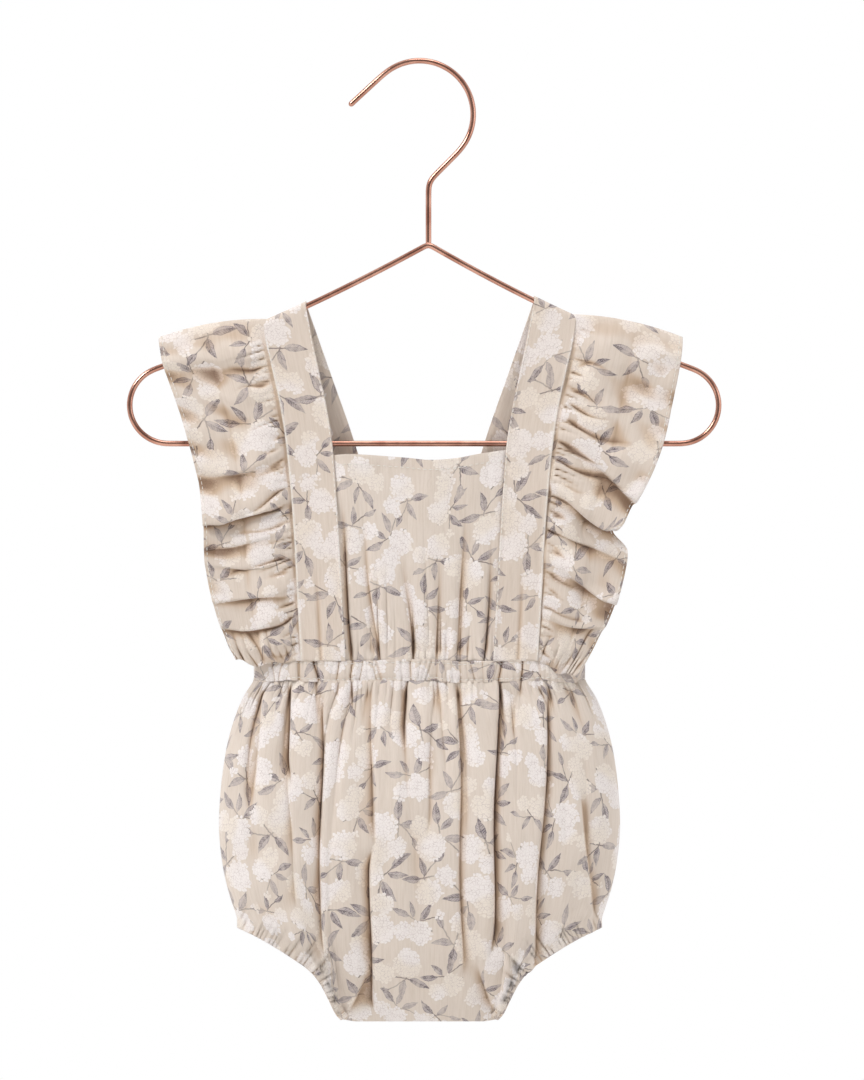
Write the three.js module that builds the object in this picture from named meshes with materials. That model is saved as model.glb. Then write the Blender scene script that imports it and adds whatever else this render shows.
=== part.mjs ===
import * as THREE from 'three';

const { lerp, smoothstep, clamp, degToRad } = THREE.MathUtils;

// A baby's bubble romper on a bent wire hanger. Millimetres: X across, Y from front to back, Z up.
// The origin is the inside of the hook's top, where it rests on a rail. "down" is always the
// distance below that point. The front of the garment faces -Y and its two sides are -1 and +1.
const SEAM_GAP = 0.3;
const CLOTH = 1.2;

const WIRE = { radius: 1.6, quarterSides: 2, clearance: 0.3 };
const HOOK = { radius: 27, tipAngle: 132.7, tipLength: 22.4, neckAngle: -45, bend: 3 };
const NECK = { x: 4.5, bottom: 89, joint: 90.3, armStart: 0.95 };
const ROUND_END = { radius: 19.2, down: 170.8, left: -125.75, right: 130.45, armSlope: 20 };

// Half widths of the straps' two edges, measured from the middle of the garment.
const STRAP_FRONT = [
  { down: 118, inner: 57.4, outer: 79.4 },
  { down: 138, inner: 53.5, outer: 77.0 },
  { down: 154, inner: 50.2, outer: 73.4 },
  { down: 171, inner: 46.5, outer: 69.7 },
  { down: 191, inner: 43.4, outer: 66.6 },
  { down: 229, inner: 40.6, outer: 63.1 },
  { down: 268, inner: 38.3, outer: 60.9 },
  { down: 298, inner: 36.8, outer: 59.1 },
];
const STRAP_BACK = [
  { down: 118, inner: 57.4, outer: 79.4 },
  { down: 156, inner: 44.1, outer: 67.9 },
  { down: 187, inner: 33.3, outer: 57.2 },
  { down: 240, inner: 17.3, outer: 41.2 },
  { down: 298, inner: 0.6, outer: 24.6 },
];
const STRAP = { width: 22, nearTop: 68, turn: 0.02, rise: 1.14, columns: 3, rows: 15, turnRows: 6 };

// How far the bodice lies in front of the hanger, and behind it.
const BODICE_DEPTH = [
  { down: 118, depth: 2.5 },
  { down: 126, depth: 2.8 },
  { down: 150, depth: 3.8 },
  { down: 190, depth: 5.6 },
  { down: 215, depth: 7.4 },
  { down: 250, depth: 10 },
  { down: 298, depth: 13 },
];

const WAIST = { halfWidth: 82.5, halfDepth: 13, top: 298.2, height: 10.5, wall: 2, pucker: 1 };
const GATHERS = { front: 20, back: 16, bib: 12, leg: 20, columnsEach: 4 };

const BIB_TOP = [
  { x: -44, down: 196 },
  { x: -34, down: 195.3 },
  { x: -8, down: 197 },
  { x: 5, down: 198.2 },
  { x: 18, down: 197.3 },
  { x: 30, down: 195 },
  { x: 44, down: 192.9 },
];
const BIB = { rows: 7, crown: 1.5, gather: 1.3 };

// The ruffles' free edges, a row for each share of the way from the shoulder (0) to the waist (1).
const RUFFLE_EDGE = {
  left: [
    { share: 0, out: 130.5, down: 136.7, depth: 0 },
    { share: 0.04, out: 130, down: 141, depth: 3.4 },
    { share: 0.13, out: 127.8, down: 151.7, depth: 5.5 },
    { share: 0.24, out: 121, down: 170.7, depth: 6.5 },
    { share: 0.36, out: 115, down: 190.7, depth: 7 },
    { share: 0.47, out: 110.5, down: 208.2, depth: 8 },
    { share: 0.58, out: 107.9, down: 227.2, depth: 9 },
    { share: 0.7, out: 107.2, down: 248.2, depth: 10 },
    { share: 0.82, out: 103.3, down: 268.2, depth: 10 },
    { share: 0.92, out: 98.2, down: 283.7, depth: 10 },
    { share: 1, out: 91.5, down: 297.2, depth: 9 },
  ],
  right: [
    { share: 0, out: 131.5, down: 136.6, depth: 0 },
    { share: 0.04, out: 131.4, down: 141, depth: 3.4 },
    { share: 0.13, out: 130, down: 151.7, depth: 5.5 },
    { share: 0.24, out: 126.2, down: 170.7, depth: 6.5 },
    { share: 0.36, out: 121.5, down: 190.7, depth: 7 },
    { share: 0.47, out: 113.2, down: 209.2, depth: 8 },
    { share: 0.57, out: 102.6, down: 226.6, depth: 9 },
    { share: 0.62, out: 96.5, down: 233.5, depth: 9 },
    { share: 0.68, out: 103.8, down: 243.5, depth: 9 },
    { share: 0.82, out: 98, down: 269, depth: 10 },
    { share: 0.92, out: 90.8, down: 285, depth: 10 },
    { share: 1, out: 84, down: 296.5, depth: 9 },
  ],
  back: [
    { share: 0, out: 130.5, down: 136.7, depth: 0 },
    { share: 0.04, out: 129, down: 141, depth: 3.4 },
    { share: 0.15, out: 123, down: 155, depth: 6 },
    { share: 0.36, out: 107, down: 192, depth: 8 },
    { share: 0.6, out: 88, down: 236, depth: 11 },
    { share: 0.85, out: 66, down: 279, depth: 13 },
    { share: 1, out: 52, down: 297, depth: 13 },
  ],
};
// Pleat crests: where each one starts on the seam, where it ends on the free edge, and its height.
const RUFFLE_PLEATS = {
  left: [
    { seam: 0.07, edge: 0.07, height: 2 },
    { seam: 0.25, edge: 0.24, height: 3 },
    { seam: 0.37, edge: 0.37, height: 3.5 },
    { seam: 0.52, edge: 0.56, height: 7 },
    { seam: 0.66, edge: 0.69, height: 6 },
    { seam: 0.76, edge: 0.79, height: 5.5 },
    { seam: 0.86, edge: 0.89, height: 4.5 },
    { seam: 0.96, edge: 0.97, height: 3 },
  ],
  right: [
    { seam: 0.06, edge: 0.08, height: 2 },
    { seam: 0.17, edge: 0.28, height: 3 },
    { seam: 0.31, edge: 0.46, height: 5 },
    { seam: 0.47, edge: 0.58, height: 7 },
    { seam: 0.62, edge: 0.7, height: 5.5 },
    { seam: 0.72, edge: 0.81, height: 5 },
    { seam: 0.83, edge: 0.9, height: 4.5 },
    { seam: 0.94, edge: 0.97, height: 3 },
  ],
  back: [
    { seam: 0.08, edge: 0.08, height: 2 },
    { seam: 0.22, edge: 0.2, height: 4 },
    { seam: 0.36, edge: 0.34, height: 5.5 },
    { seam: 0.5, edge: 0.5, height: 5.5 },
    { seam: 0.64, edge: 0.66, height: 5.5 },
    { seam: 0.77, edge: 0.8, height: 5 },
    { seam: 0.9, edge: 0.92, height: 4 },
  ],
};
const RUFFLE = { columns: 4, frontRows: 38, backRows: 30, ridgeBow: 5, ridgeReach: 0.12, drop: 0.3 };

// The bloomer's side outline, its depth down the middle, and the edge of a leg opening, which runs
// from the side seam (first row) to the crotch (last row).
const BLOOMER_SIDE = [
  { down: 309, out: 83 },
  { down: 318, out: 88.5 },
  { down: 333, out: 94 },
  { down: 348, out: 97.3 },
  { down: 366, out: 99.4 },
  { down: 383, out: 100 },
  { down: 400, out: 98.3 },
  { down: 413, out: 95.5 },
  { down: 427, out: 91 },
];
const BLOOMER_DEPTH = [
  { fall: 0, depth: 13 },
  { fall: 0.12, depth: 20 },
  { fall: 0.35, depth: 27 },
  { fall: 0.6, depth: 26 },
  { fall: 0.8, depth: 19 },
  { fall: 0.93, depth: 9.5 },
  { fall: 1, depth: 0 },
];
const LEG_EDGE = [
  { out: 89.8, down: 432.5 },
  { out: 80, down: 437 },
  { out: 72, down: 441.5 },
  { out: 64, down: 446.5 },
  { out: 55.5, down: 452.5 },
  { out: 50, down: 459 },
  { out: 46, down: 466.5 },
  { out: 42.5, down: 474 },
  { out: 39.6, down: 478.2 },
];
const LEG = { casing: 6, thickness: 2.4, halfDepth: 14, pucker: 0.5, steps: 80 };
const CROTCH = { down: 478.7, share: 0.45 };
const BLOOMER = { rows: 9, backRows: 8, gather: 1.2, gatherReach: 0.3, edgePower: 3 };

// The bloomer's long folds, as grooves: x at the top and the bottom, where each starts and ends.
const FRONT_FOLDS = [
  { top: -78, bottom: -86, from: 312, to: 400, depth: 3 },
  { top: -63, bottom: -62, from: 303, to: 358, depth: 5 },
  { top: -47, bottom: -48, from: 315, to: 442, depth: 5 },
  { top: -36, bottom: -34, from: 303, to: 350, depth: 2.5 },
  { top: -22.7, bottom: -22.7, from: 303, to: 386, depth: 3 },
  { top: -22.7, bottom: -23, from: 396, to: 485, depth: 6 },
  { top: -6, bottom: -5, from: 303, to: 345, depth: 2.5 },
  { top: 7, bottom: 3, from: 303, to: 370, depth: 2 },
  { top: 17.7, bottom: 20.8, from: 303, to: 450, depth: 3.5 },
  { top: 37.5, bottom: 34.5, from: 303, to: 435, depth: 6 },
  { top: 50, bottom: 48, from: 303, to: 345, depth: 3 },
  { top: 64, bottom: 55, from: 310, to: 455, depth: 4.5 },
  { top: 80, bottom: 87, from: 380, to: 440, depth: 3 },
];
const BACK_FOLDS = [
  { top: -74, bottom: -80, from: 306, to: 410, depth: 4 },
  { top: -55, bottom: -57, from: 303, to: 445, depth: 5 },
  { top: -38, bottom: -36, from: 303, to: 370, depth: 4 },
  { top: -20, bottom: -22, from: 310, to: 470, depth: 5 },
  { top: 2, bottom: 0, from: 303, to: 400, depth: 4 },
  { top: 24, bottom: 22, from: 315, to: 475, depth: 5 },
  { top: 43, bottom: 40, from: 303, to: 380, depth: 4 },
  { top: 60, bottom: 58, from: 303, to: 440, depth: 5 },
  { top: 77, bottom: 82, from: 308, to: 400, depth: 4 },
];
const BIB_FOLDS = [
  { top: -41, bottom: -30, from: 212, to: 310, depth: 3 },
  { top: -24, bottom: -20, from: 205, to: 265, depth: 1.5 },
  { top: 20, bottom: 14, from: 235, to: 310, depth: 2.5 },
  { top: 38, bottom: 29, from: 235, to: 310, depth: 2.5 },
];
const FOLD = { width: 3.4, fade: 18 };

const clothMaterial = new THREE.MeshStandardMaterial({ color: '#d8ccbf', roughness: 0.92 });
const wireMaterial = new THREE.MeshStandardMaterial({
  color: '#c0826a',
  roughness: 0.22,
  metalness: 1,
});

/** A smooth curve through one column of a table, read at a value of its key column. */
function curveThrough(rows, key, column) {
  const at = rows.map((row) => row[key]);
  const value = rows.map((row) => row[column]);
  const slope = at.map((_, i) => {
    const before = Math.max(i - 1, 0);
    const after = Math.min(i + 1, at.length - 1);
    return (value[after] - value[before]) / (at[after] - at[before]);
  });
  return (wanted) => {
    let i = 0;
    while (i < at.length - 2 && wanted > at[i + 1]) i += 1;
    const width = at[i + 1] - at[i];
    const f = clamp((wanted - at[i]) / width, 0, 1);
    const rise = f * f * (3 - 2 * f);
    const bend = f * (1 - f) * width * ((1 - f) * slope[i] - f * slope[i + 1]);
    return lerp(value[i], value[i + 1], rise) + bend;
  };
}

const strapEdges = {
  front: {
    inner: curveThrough(STRAP_FRONT, 'down', 'inner'),
    outer: curveThrough(STRAP_FRONT, 'down', 'outer'),
  },
  back: {
    inner: curveThrough(STRAP_BACK, 'down', 'inner'),
    outer: curveThrough(STRAP_BACK, 'down', 'outer'),
  },
};
const bodiceDepth = curveThrough(BODICE_DEPTH, 'down', 'depth');
const bibTop = curveThrough(BIB_TOP, 'x', 'down');
const bloomerSide = curveThrough(BLOOMER_SIDE, 'down', 'out');
const bloomerDepth = curveThrough(BLOOMER_DEPTH, 'fall', 'depth');

/** The plan of the waist: 1 in the middle, falling to 0 at the two sides. */
function fullness(across) {
  return Math.pow(1 - Math.pow(Math.min(Math.abs(across), 1), 3.2), 0.55);
}

/** Distance of the bodice's cloth from the hanger's plane, flat above and round at the waist. */
function bodiceDepthAt(x, down) {
  const rounded = smoothstep(down, 190, WAIST.top);
  return bodiceDepth(down) * lerp(1, fullness(x / WAIST.halfWidth), rounded);
}

/** A closed wall of even thickness about a grid of points that lies in the middle of the cloth.
 *  lastAlong gives the cloth's own direction at each point of the last row, where it is known. */
function clothWall(grid, { wall = CLOTH, ring = false, flattenEnds = false, lastAlong } = {}) {
  const rows = grid.length;
  const columns = grid[0].length;
  const normals = grid.map((row, r) => row.map((_, c) => {
    const left = ring ? (c + columns - 1) % columns : Math.max(c - 1, 0);
    const right = ring ? (c + 1) % columns : Math.min(c + 1, columns - 1);
    const across = grid[r][right].clone().sub(grid[r][left]);
    const known = lastAlong && r === rows - 1;
    const along = known ? lastAlong[c]
      : grid[Math.min(r + 1, rows - 1)][c].clone().sub(grid[Math.max(r - 1, 0)][c]);
    const normal = across.cross(along);
    if (flattenEnds && (c === 0 || c === columns - 1)) normal.y = 0;
    return normal.normalize();
  }));
  const positions = [];
  for (const side of [1, -1]) {
    grid.forEach((row, r) => row.forEach((point, c) => {
      const moved = point.clone().addScaledVector(normals[r][c], side * wall / 2);
      positions.push(moved.x, moved.y, moved.z);
    }));
  }
  const layer = rows * columns;
  const vertex = (side, r, c) => side * layer + r * columns + (c % columns);
  const index = [];
  const quad = (a, b, c, d) => index.push(a, b, c, a, c, d);
  const lastColumn = ring ? columns : columns - 1;
  for (let r = 0; r < rows - 1; r += 1) {
    for (let c = 0; c < lastColumn; c += 1) {
      quad(vertex(0, r, c), vertex(0, r, c + 1), vertex(0, r + 1, c + 1), vertex(0, r + 1, c));
      quad(vertex(1, r, c), vertex(1, r + 1, c), vertex(1, r + 1, c + 1), vertex(1, r, c + 1));
    }
  }
  for (let c = 0; c < lastColumn; c += 1) {
    quad(vertex(0, 0, c + 1), vertex(0, 0, c), vertex(1, 0, c), vertex(1, 0, c + 1));
    const end = rows - 1;
    quad(vertex(0, end, c), vertex(0, end, c + 1), vertex(1, end, c + 1), vertex(1, end, c));
  }
  if (!ring) {
    for (let r = 0; r < rows - 1; r += 1) {
      quad(vertex(0, r, 0), vertex(0, r + 1, 0), vertex(1, r + 1, 0), vertex(1, r, 0));
      const end = columns - 1;
      quad(vertex(0, r + 1, end), vertex(0, r, end), vertex(1, r, end), vertex(1, r + 1, end));
    }
  }
  return closedGeometry(positions, index);
}

/** Geometry from points and triangles, turned so that its faces point outwards. */
function closedGeometry(positions, index) {
  const corner = (i) => new THREE.Vector3().fromArray(positions, index[i] * 3);
  let volume = 0;
  for (let i = 0; i < index.length; i += 3) {
    volume += corner(i).dot(corner(i + 1).cross(corner(i + 2)));
  }
  const facing = volume > 0 ? index : index.slice().reverse();
  const geometry = new THREE.BufferGeometry();
  geometry.setAttribute('position', new THREE.Float32BufferAttribute(positions, 3));
  geometry.setIndex(facing);
  geometry.computeVertexNormals();
  return geometry;
}

/** Even steps from 0 to 1. */
function steps(count) {
  return Array.from({ length: count + 1 }, (_, i) => i / count);
}

/** Depth of the grooves at a place: each one is a smooth dip that fades out at its two ends. */
function grooveDepth(folds, x, down) {
  return folds.reduce((total, fold) => {
    const f = clamp((down - fold.from) / (fold.to - fold.from), 0, 1);
    const offset = (x - lerp(fold.top, fold.bottom, f)) / FOLD.width;
    const start = smoothstep(down, fold.from, fold.from + FOLD.fade);
    const finish = 1 - smoothstep(down, fold.to - FOLD.fade, fold.to);
    return total + fold.depth * Math.exp(-offset * offset) * start * finish;
  }, 0);
}

/** Puckers of an elastic edge: one crest for each gather, uneven from one to the next. */
function gatherWave(share, count) {
  const uneven = 0.75 + 0.25 * Math.sin(share * count * 2.4 + 1);
  return Math.cos(2 * Math.PI * share * count) * uneven;
}

// The hanger: one wire, made as a hook and neck, two arms, two round ends and the bottom bar.

/** Height of an arm's middle at x: a shallow bow from the neck's joint to the round end. */
function armDown(x) {
  const side = x < NECK.x ? -1 : 1;
  const end = armEnd(side);
  const length = Math.abs(end.x - NECK.x);
  const endSlope = Math.tan(degToRad(ROUND_END.armSlope));
  const bow = (end.down - NECK.joint - endSlope * length) / (length * length);
  const d = Math.abs(x - NECK.x);
  return NECK.joint + (endSlope + 2 * bow * length) * d - bow * d * d;
}

/** Where an arm runs into its round end. */
function armEnd(side) {
  const angle = degToRad(ROUND_END.armSlope);
  const centre = side < 0 ? ROUND_END.left : ROUND_END.right;
  return {
    x: centre + side * ROUND_END.radius * Math.sin(angle),
    down: ROUND_END.down - ROUND_END.radius * Math.cos(angle),
  };
}

function wireAlong(points, count) {
  const section = new THREE.Shape();
  section.absarc(0, 0, WIRE.radius, 0, 2 * Math.PI);
  const path = new THREE.CatmullRomCurve3(points, false, 'centripetal');
  const options = { steps: count, curveSegments: 2 * WIRE.quarterSides, extrudePath: path };
  return new THREE.ExtrudeGeometry(section, options);
}

function inPlane(x, down) {
  return new THREE.Vector3(x, 0, -down);
}

function arcPoints(centreX, centreDown, radius, fromAngle, toAngle, count) {
  return steps(count).map((f) => {
    const angle = degToRad(lerp(fromAngle, toAngle, f));
    return inPlane(centreX + radius * Math.cos(angle), centreDown - radius * Math.sin(angle));
  });
}

function hookGeometry() {
  const centreDown = HOOK.radius - WIRE.radius;
  const arc = arcPoints(0, centreDown, HOOK.radius, HOOK.tipAngle, HOOK.neckAngle, 18);
  const tipTurn = degToRad(HOOK.tipAngle - 90);
  const tip = [1, 0.5].map((f) => inPlane(
    arc[0].x - f * HOOK.tipLength * Math.cos(tipTurn),
    -arc[0].z + f * HOOK.tipLength * Math.sin(tipTurn),
  ));
  const last = arc[arc.length - 1];
  const cornerDown = -last.z + (last.x - NECK.x);
  const neck = [
    inPlane(NECK.x + HOOK.bend, cornerDown - HOOK.bend),
    inPlane(NECK.x + 0.25 * HOOK.bend, cornerDown),
    inPlane(NECK.x, cornerDown + HOOK.bend),
    inPlane(NECK.x, NECK.bottom),
  ];
  return wireAlong([...tip, ...arc, ...neck], 44);
}

function armGeometry(side) {
  const start = NECK.x + side * NECK.armStart;
  const end = armEnd(side).x - side * SEAM_GAP / 2;
  const points = steps(6).map((f) => {
    const x = lerp(start, end, f);
    return inPlane(x, armDown(x));
  });
  return wireAlong(points, 10);
}

function roundEndGeometry(side) {
  const centre = side < 0 ? ROUND_END.left : ROUND_END.right;
  const gapAngle = SEAM_GAP / 2 / ROUND_END.radius * 180 / Math.PI;
  const from = 90 - ROUND_END.armSlope - gapAngle;
  const to = -90 + gapAngle;
  const points = arcPoints(centre, ROUND_END.down, ROUND_END.radius, from, to, 12);
  for (const point of points) point.x = centre + side * (point.x - centre);
  return wireAlong(points, 20);
}

function barGeometry() {
  const down = ROUND_END.down + ROUND_END.radius;
  const left = inPlane(ROUND_END.left + SEAM_GAP / 2, down);
  const right = inPlane(ROUND_END.right - SEAM_GAP / 2, down);
  return wireAlong([left, right], 4);
}

// The straps: each runs from the front waist over the hanger's arm to the back waist.

function strapX(edges, across, down) {
  return lerp(edges.inner(down), edges.outer(down), across);
}

/** The x at which one layer of a strap meets the arm, found by a few steps along both. */
function strapTopX(side, edges, across) {
  return steps(5).reduce((x) => strapX(edges, across, armDown(side * x)), STRAP.nearTop);
}

/** A point of a strap: across from its inner edge (0) to its outer edge (1), along from the front
 *  waist (0) over the shoulder (0.5) to the back waist (1). */
function strapPoint(side, across, along) {
  const fromTop = Math.abs(along - 0.5);
  const edges = along < 0.5 ? strapEdges.front : strapEdges.back;
  if (fromTop < STRAP.turn) {
    const radius = WIRE.radius + WIRE.clearance + CLOTH / 2;
    const turned = (along - 0.5) / STRAP.turn;
    const front = strapTopX(side, strapEdges.front, across);
    const back = strapTopX(side, strapEdges.back, across);
    const x = lerp(front, back, (turned + 1) / 2);
    const angle = turned * Math.PI / 2;
    const rise = radius * STRAP.rise * Math.cos(angle);
    return new THREE.Vector3(side * x, radius * Math.sin(angle), rise - armDown(side * x));
  }
  const topDown = armDown(side * strapTopX(side, edges, across));
  const share = (fromTop - STRAP.turn) / (0.5 - STRAP.turn);
  const down = lerp(topDown, WAIST.top - SEAM_GAP, share);
  const x = strapX(edges, across, down);
  const depth = bodiceDepthAt(x, down);
  return new THREE.Vector3(side * x, along < 0.5 ? -depth : depth, -down);
}

function strapGeometry(side) {
  const alongs = [
    ...steps(STRAP.rows).map((f) => f * (0.5 - STRAP.turn)),
    ...steps(STRAP.turnRows).slice(1, -1).map((f) => 0.5 + STRAP.turn * (2 * f - 1)),
    ...steps(STRAP.rows).map((f) => lerp(0.5 + STRAP.turn, 1, f)),
  ];
  const grid = alongs.map((along) => (
    steps(STRAP.columns).map((across) => strapPoint(side, across, along))
  ));
  return clothWall(grid);
}

// The ruffles: each hangs from a strap's outer edge, with its shoulder fold above the arm.

/** Height of the pleats: a quick drop under each crest, then a slow rise to the next one. */
function pleatHeight(pleats, share, across) {
  const crests = pleats.map((pleat) => lerp(pleat.seam, pleat.edge, across));
  const heights = pleats.map((pleat) => pleat.height);
  if (share <= crests[0]) return heights[0] * smoothstep(share, 0, crests[0]);
  const last = crests.length - 1;
  if (share >= crests[last]) return heights[last];
  let i = 0;
  while (share > crests[i + 1]) i += 1;
  const f = (share - crests[i]) / (crests[i + 1] - crests[i]);
  const falling = heights[i] * (1 - smoothstep(f, 0, RUFFLE.drop));
  return falling + heights[i + 1] * smoothstep(f, RUFFLE.drop, 1);
}

/** A point of a ruffle: across from its seam (0) to its free edge (1), along as on the strap. */
function rufflePoint(side, across, along) {
  const seam = strapPoint(side, 1 + SEAM_GAP / STRAP.width, along);
  const share = Math.abs(along - 0.5) / 0.5;
  const isFront = along < 0.5;
  const name = isFront ? (side < 0 ? 'left' : 'right') : 'back';
  const table = ruffleEdges[name];
  const facing = isFront ? -1 : 1;
  const edge = new THREE.Vector3(
    side * table.out(share),
    facing * table.depth(share),
    -table.down(share),
  );
  const point = seam.clone().lerp(edge, across);
  const pleat = pleatHeight(RUFFLE_PLEATS[name], share, across);
  const grown = Math.pow(across, 0.7) * smoothstep(share, 0, 0.1);
  point.y += facing * (pleat - 1.5) * grown;
  const ridge = 1 - smoothstep(share, 0, RUFFLE.ridgeReach);
  point.z += RUFFLE.ridgeBow * 4 * across * (1 - across) * ridge;
  return point;
}

const ruffleEdges = Object.fromEntries(Object.entries(RUFFLE_EDGE).map(([name, rows]) => [name, {
  out: curveThrough(rows, 'share', 'out'),
  down: curveThrough(rows, 'share', 'down'),
  depth: curveThrough(rows, 'share', 'depth'),
}]));

function ruffleGeometry(side) {
  const near = STRAP.turn;
  const alongs = [
    ...steps(RUFFLE.frontRows).map((f) => f * (0.5 - near)),
    ...steps(STRAP.turnRows).slice(1, -1).map((f) => 0.5 + near * (2 * f - 1)),
    ...steps(RUFFLE.backRows).map((f) => lerp(0.5 + near, 1, f)),
  ];
  const grid = alongs.map((along) => (
    steps(RUFFLE.columns).map((across) => rufflePoint(side, across, along))
  ));
  return clothWall(grid);
}

// The bib: one panel between the straps' inner edges, gathered into the waist.
function bibPoint(share, fall) {
  const across = 2 * share - 1;
  const top = bibTop(across * strapEdges.front.inner(WAIST.top - 100));
  const down = lerp(top, WAIST.top - SEAM_GAP, fall);
  const x = across * (strapEdges.front.inner(down) - SEAM_GAP);
  const edge = 1 - Math.pow(Math.abs(across), 6);
  const crown = BIB.crown * edge * (1 - fall);
  const gather = BIB.gather * gatherWave(share, GATHERS.bib) * smoothstep(fall, 0.3, 0.95);
  const groove = grooveDepth(BIB_FOLDS, x, down);
  const depth = bodiceDepthAt(x, down) + crown + (gather - groove) * edge;
  return new THREE.Vector3(x, -depth, -down);
}

function bibGeometry() {
  const grid = steps(BIB.rows).map((fall) => (
    steps(GATHERS.bib * GATHERS.columnsEach).map((share) => bibPoint(share, fall))
  ));
  return clothWall(grid);
}

// The waist casing: a flat ring, puckered by the elastic inside it.
function waistPoint(angle, down) {
  const front = Math.sin(angle) < 0;
  const across = Math.cos(angle);
  const share = front ? (angle - Math.PI) / Math.PI : angle / Math.PI;
  const pucker = WAIST.pucker * gatherWave(share, front ? GATHERS.front : GATHERS.back);
  const depth = (WAIST.halfDepth + pucker) * fullness(across);
  return new THREE.Vector3(WAIST.halfWidth * across, front ? -depth : depth, -down);
}

function waistGeometry() {
  const columns = (GATHERS.front + GATHERS.back) * GATHERS.columnsEach;
  const angles = steps(columns).slice(0, -1).map((f) => f * 2 * Math.PI);
  const bottom = WAIST.top + WAIST.height;
  const grid = steps(2).map((f) => (
    angles.map((angle) => waistPoint(angle, lerp(WAIST.top, bottom, f)))
  ));
  return clothWall(grid, { wall: WAIST.wall, ring: true });
}

// The leg openings: an edge curve from the side seam to the crotch, the same in front and back.
const legCurve = new THREE.SplineCurve(
  LEG_EDGE.map((row) => new THREE.Vector2(row.out, -row.down)),
);

/** A point beside the leg edge, moved into the cloth by an amount, on side -1 or +1. */
function legEdgePoint(side, share, inset) {
  const at = clamp(share, 0, 1);
  const point = legCurve.getPoint(at);
  const tangent = legCurve.getTangent(at);
  point.x += tangent.y * inset;
  point.y -= tangent.x * inset;
  return new THREE.Vector3(side * point.x, 0, point.y);
}

/** The direction out of the cloth at the leg edge. */
function legOutward(side, share) {
  return legEdgePoint(side, share, 0).sub(legEdgePoint(side, share, 1)).normalize();
}

function legDepth(share) {
  return LEG.halfDepth * 2 * Math.sqrt(Math.max(share * (1 - share), 0));
}

function legCasingGeometry(side) {
  const positions = [];
  const count = LEG.steps;
  const middle = (turn) => {
    const angle = turn * 2 * Math.PI;
    const point = legEdgePoint(side, (1 - Math.cos(angle)) / 2, LEG.casing / 2);
    point.y = -LEG.halfDepth * Math.sin(angle);
    return point;
  };
  for (let i = 0; i < count; i += 1) {
    const turn = i / count;
    const centre = middle(turn);
    const forward = middle(turn + 0.002).sub(middle(turn - 0.002)).normalize();
    const share = (1 - Math.cos(turn * 2 * Math.PI)) / 2;
    const inward = legOutward(side, share).negate();
    inward.addScaledVector(forward, -inward.dot(forward)).normalize();
    const thick = new THREE.Vector3().crossVectors(forward, inward);
    const pucker = LEG.pucker * Math.cos(2 * Math.PI * turn * GATHERS.leg);
    for (const [w, t] of [[-1, -0.5], [-1, 0.5], [0, 1], [1, 0.5], [1, -0.5], [0, -1]]) {
      const corner = centre.clone();
      corner.addScaledVector(inward, w * (LEG.casing / 2 - SEAM_GAP / 2));
      corner.addScaledVector(thick, t * LEG.thickness / 2 + pucker * (1 - w) / 2);
      positions.push(corner.x, corner.y, corner.z);
    }
  }
  const index = [];
  const sides = 6;
  for (let i = 0; i < count; i += 1) {
    for (let k = 0; k < sides; k += 1) {
      const a = i * sides + k;
      const b = i * sides + (k + 1) % sides;
      const c = ((i + 1) % count) * sides + (k + 1) % sides;
      const d = ((i + 1) % count) * sides + k;
      index.push(a, b, c, a, c, d);
    }
  }
  return closedGeometry(positions, index);
}

// The bloomer's front and back panels, from the waist to the leg edges and the crotch.

/** The lower edge of a panel: the leg edge outside, the crotch seam in the middle. */
function lowerEdge(across) {
  const side = across < 0 ? -1 : 1;
  const out = Math.abs(across);
  const inset = LEG.casing + SEAM_GAP;
  if (out >= CROTCH.share) {
    const share = (1 - out) / (1 - CROTCH.share);
    const point = legEdgePoint(side, share, inset);
    const depth = share > 0.5 ? Math.max(legDepth(share), CLOTH / 2) : legDepth(share);
    return { x: point.x, down: -point.z, depth, outward: legOutward(side, share) };
  }
  const corner = legEdgePoint(side, 1, inset);
  const inner = out / CROTCH.share;
  const down = lerp(CROTCH.down, -corner.z, smoothstep(inner, 0.8, 1));
  return { x: corner.x * inner, down, depth: CLOTH / 2, outward: new THREE.Vector3(0, 0, -1) };
}

/** The place of a column across a panel, -1 to 1: closer together towards the side seams. */
function acrossAt(share) {
  return 0.5 * (2 * share - 1 - Math.cos(Math.PI * share));
}

function bloomerPoint(facing, share, fall) {
  const across = acrossAt(share);
  const top = WAIST.top + WAIST.height + SEAM_GAP;
  const lower = lowerEdge(across);
  const sideDown = lerp(top, lowerEdge(1).down, fall);
  const straight = lerp(WAIST.halfWidth, lowerEdge(1).x, fall);
  const bulge = (bloomerSide(sideDown) - straight) * (1 - smoothstep(fall, 0.92, 1));
  const x = lerp(WAIST.halfWidth * across, lower.x, fall) + across * bulge;
  const down = lerp(top, lower.down, fall);
  const front = facing < 0;
  const round = fullness(across);
  const gathers = front ? GATHERS.front : GATHERS.back;
  const nearEdge = Math.pow(Math.abs(2 * fall - 1), 1 / BLOOMER.gatherReach);
  const gather = BLOOMER.gather * gatherWave(share, gathers) * (0.35 + 0.65 * nearEdge);
  const groove = grooveDepth(front ? FRONT_FOLDS : BACK_FOLDS, x, down);
  const seamFade = smoothstep(1 - Math.abs(across), 0, 0.08) * (1 - smoothstep(fall, 0.9, 1));
  const dome = bloomerDepth(fall) * round;
  const edge = lower.depth * Math.pow(fall, BLOOMER.edgePower);
  const depth = dome + edge + (gather - groove) * seamFade + SEAM_GAP / 2;
  return new THREE.Vector3(x, facing * depth, -down);
}

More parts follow.
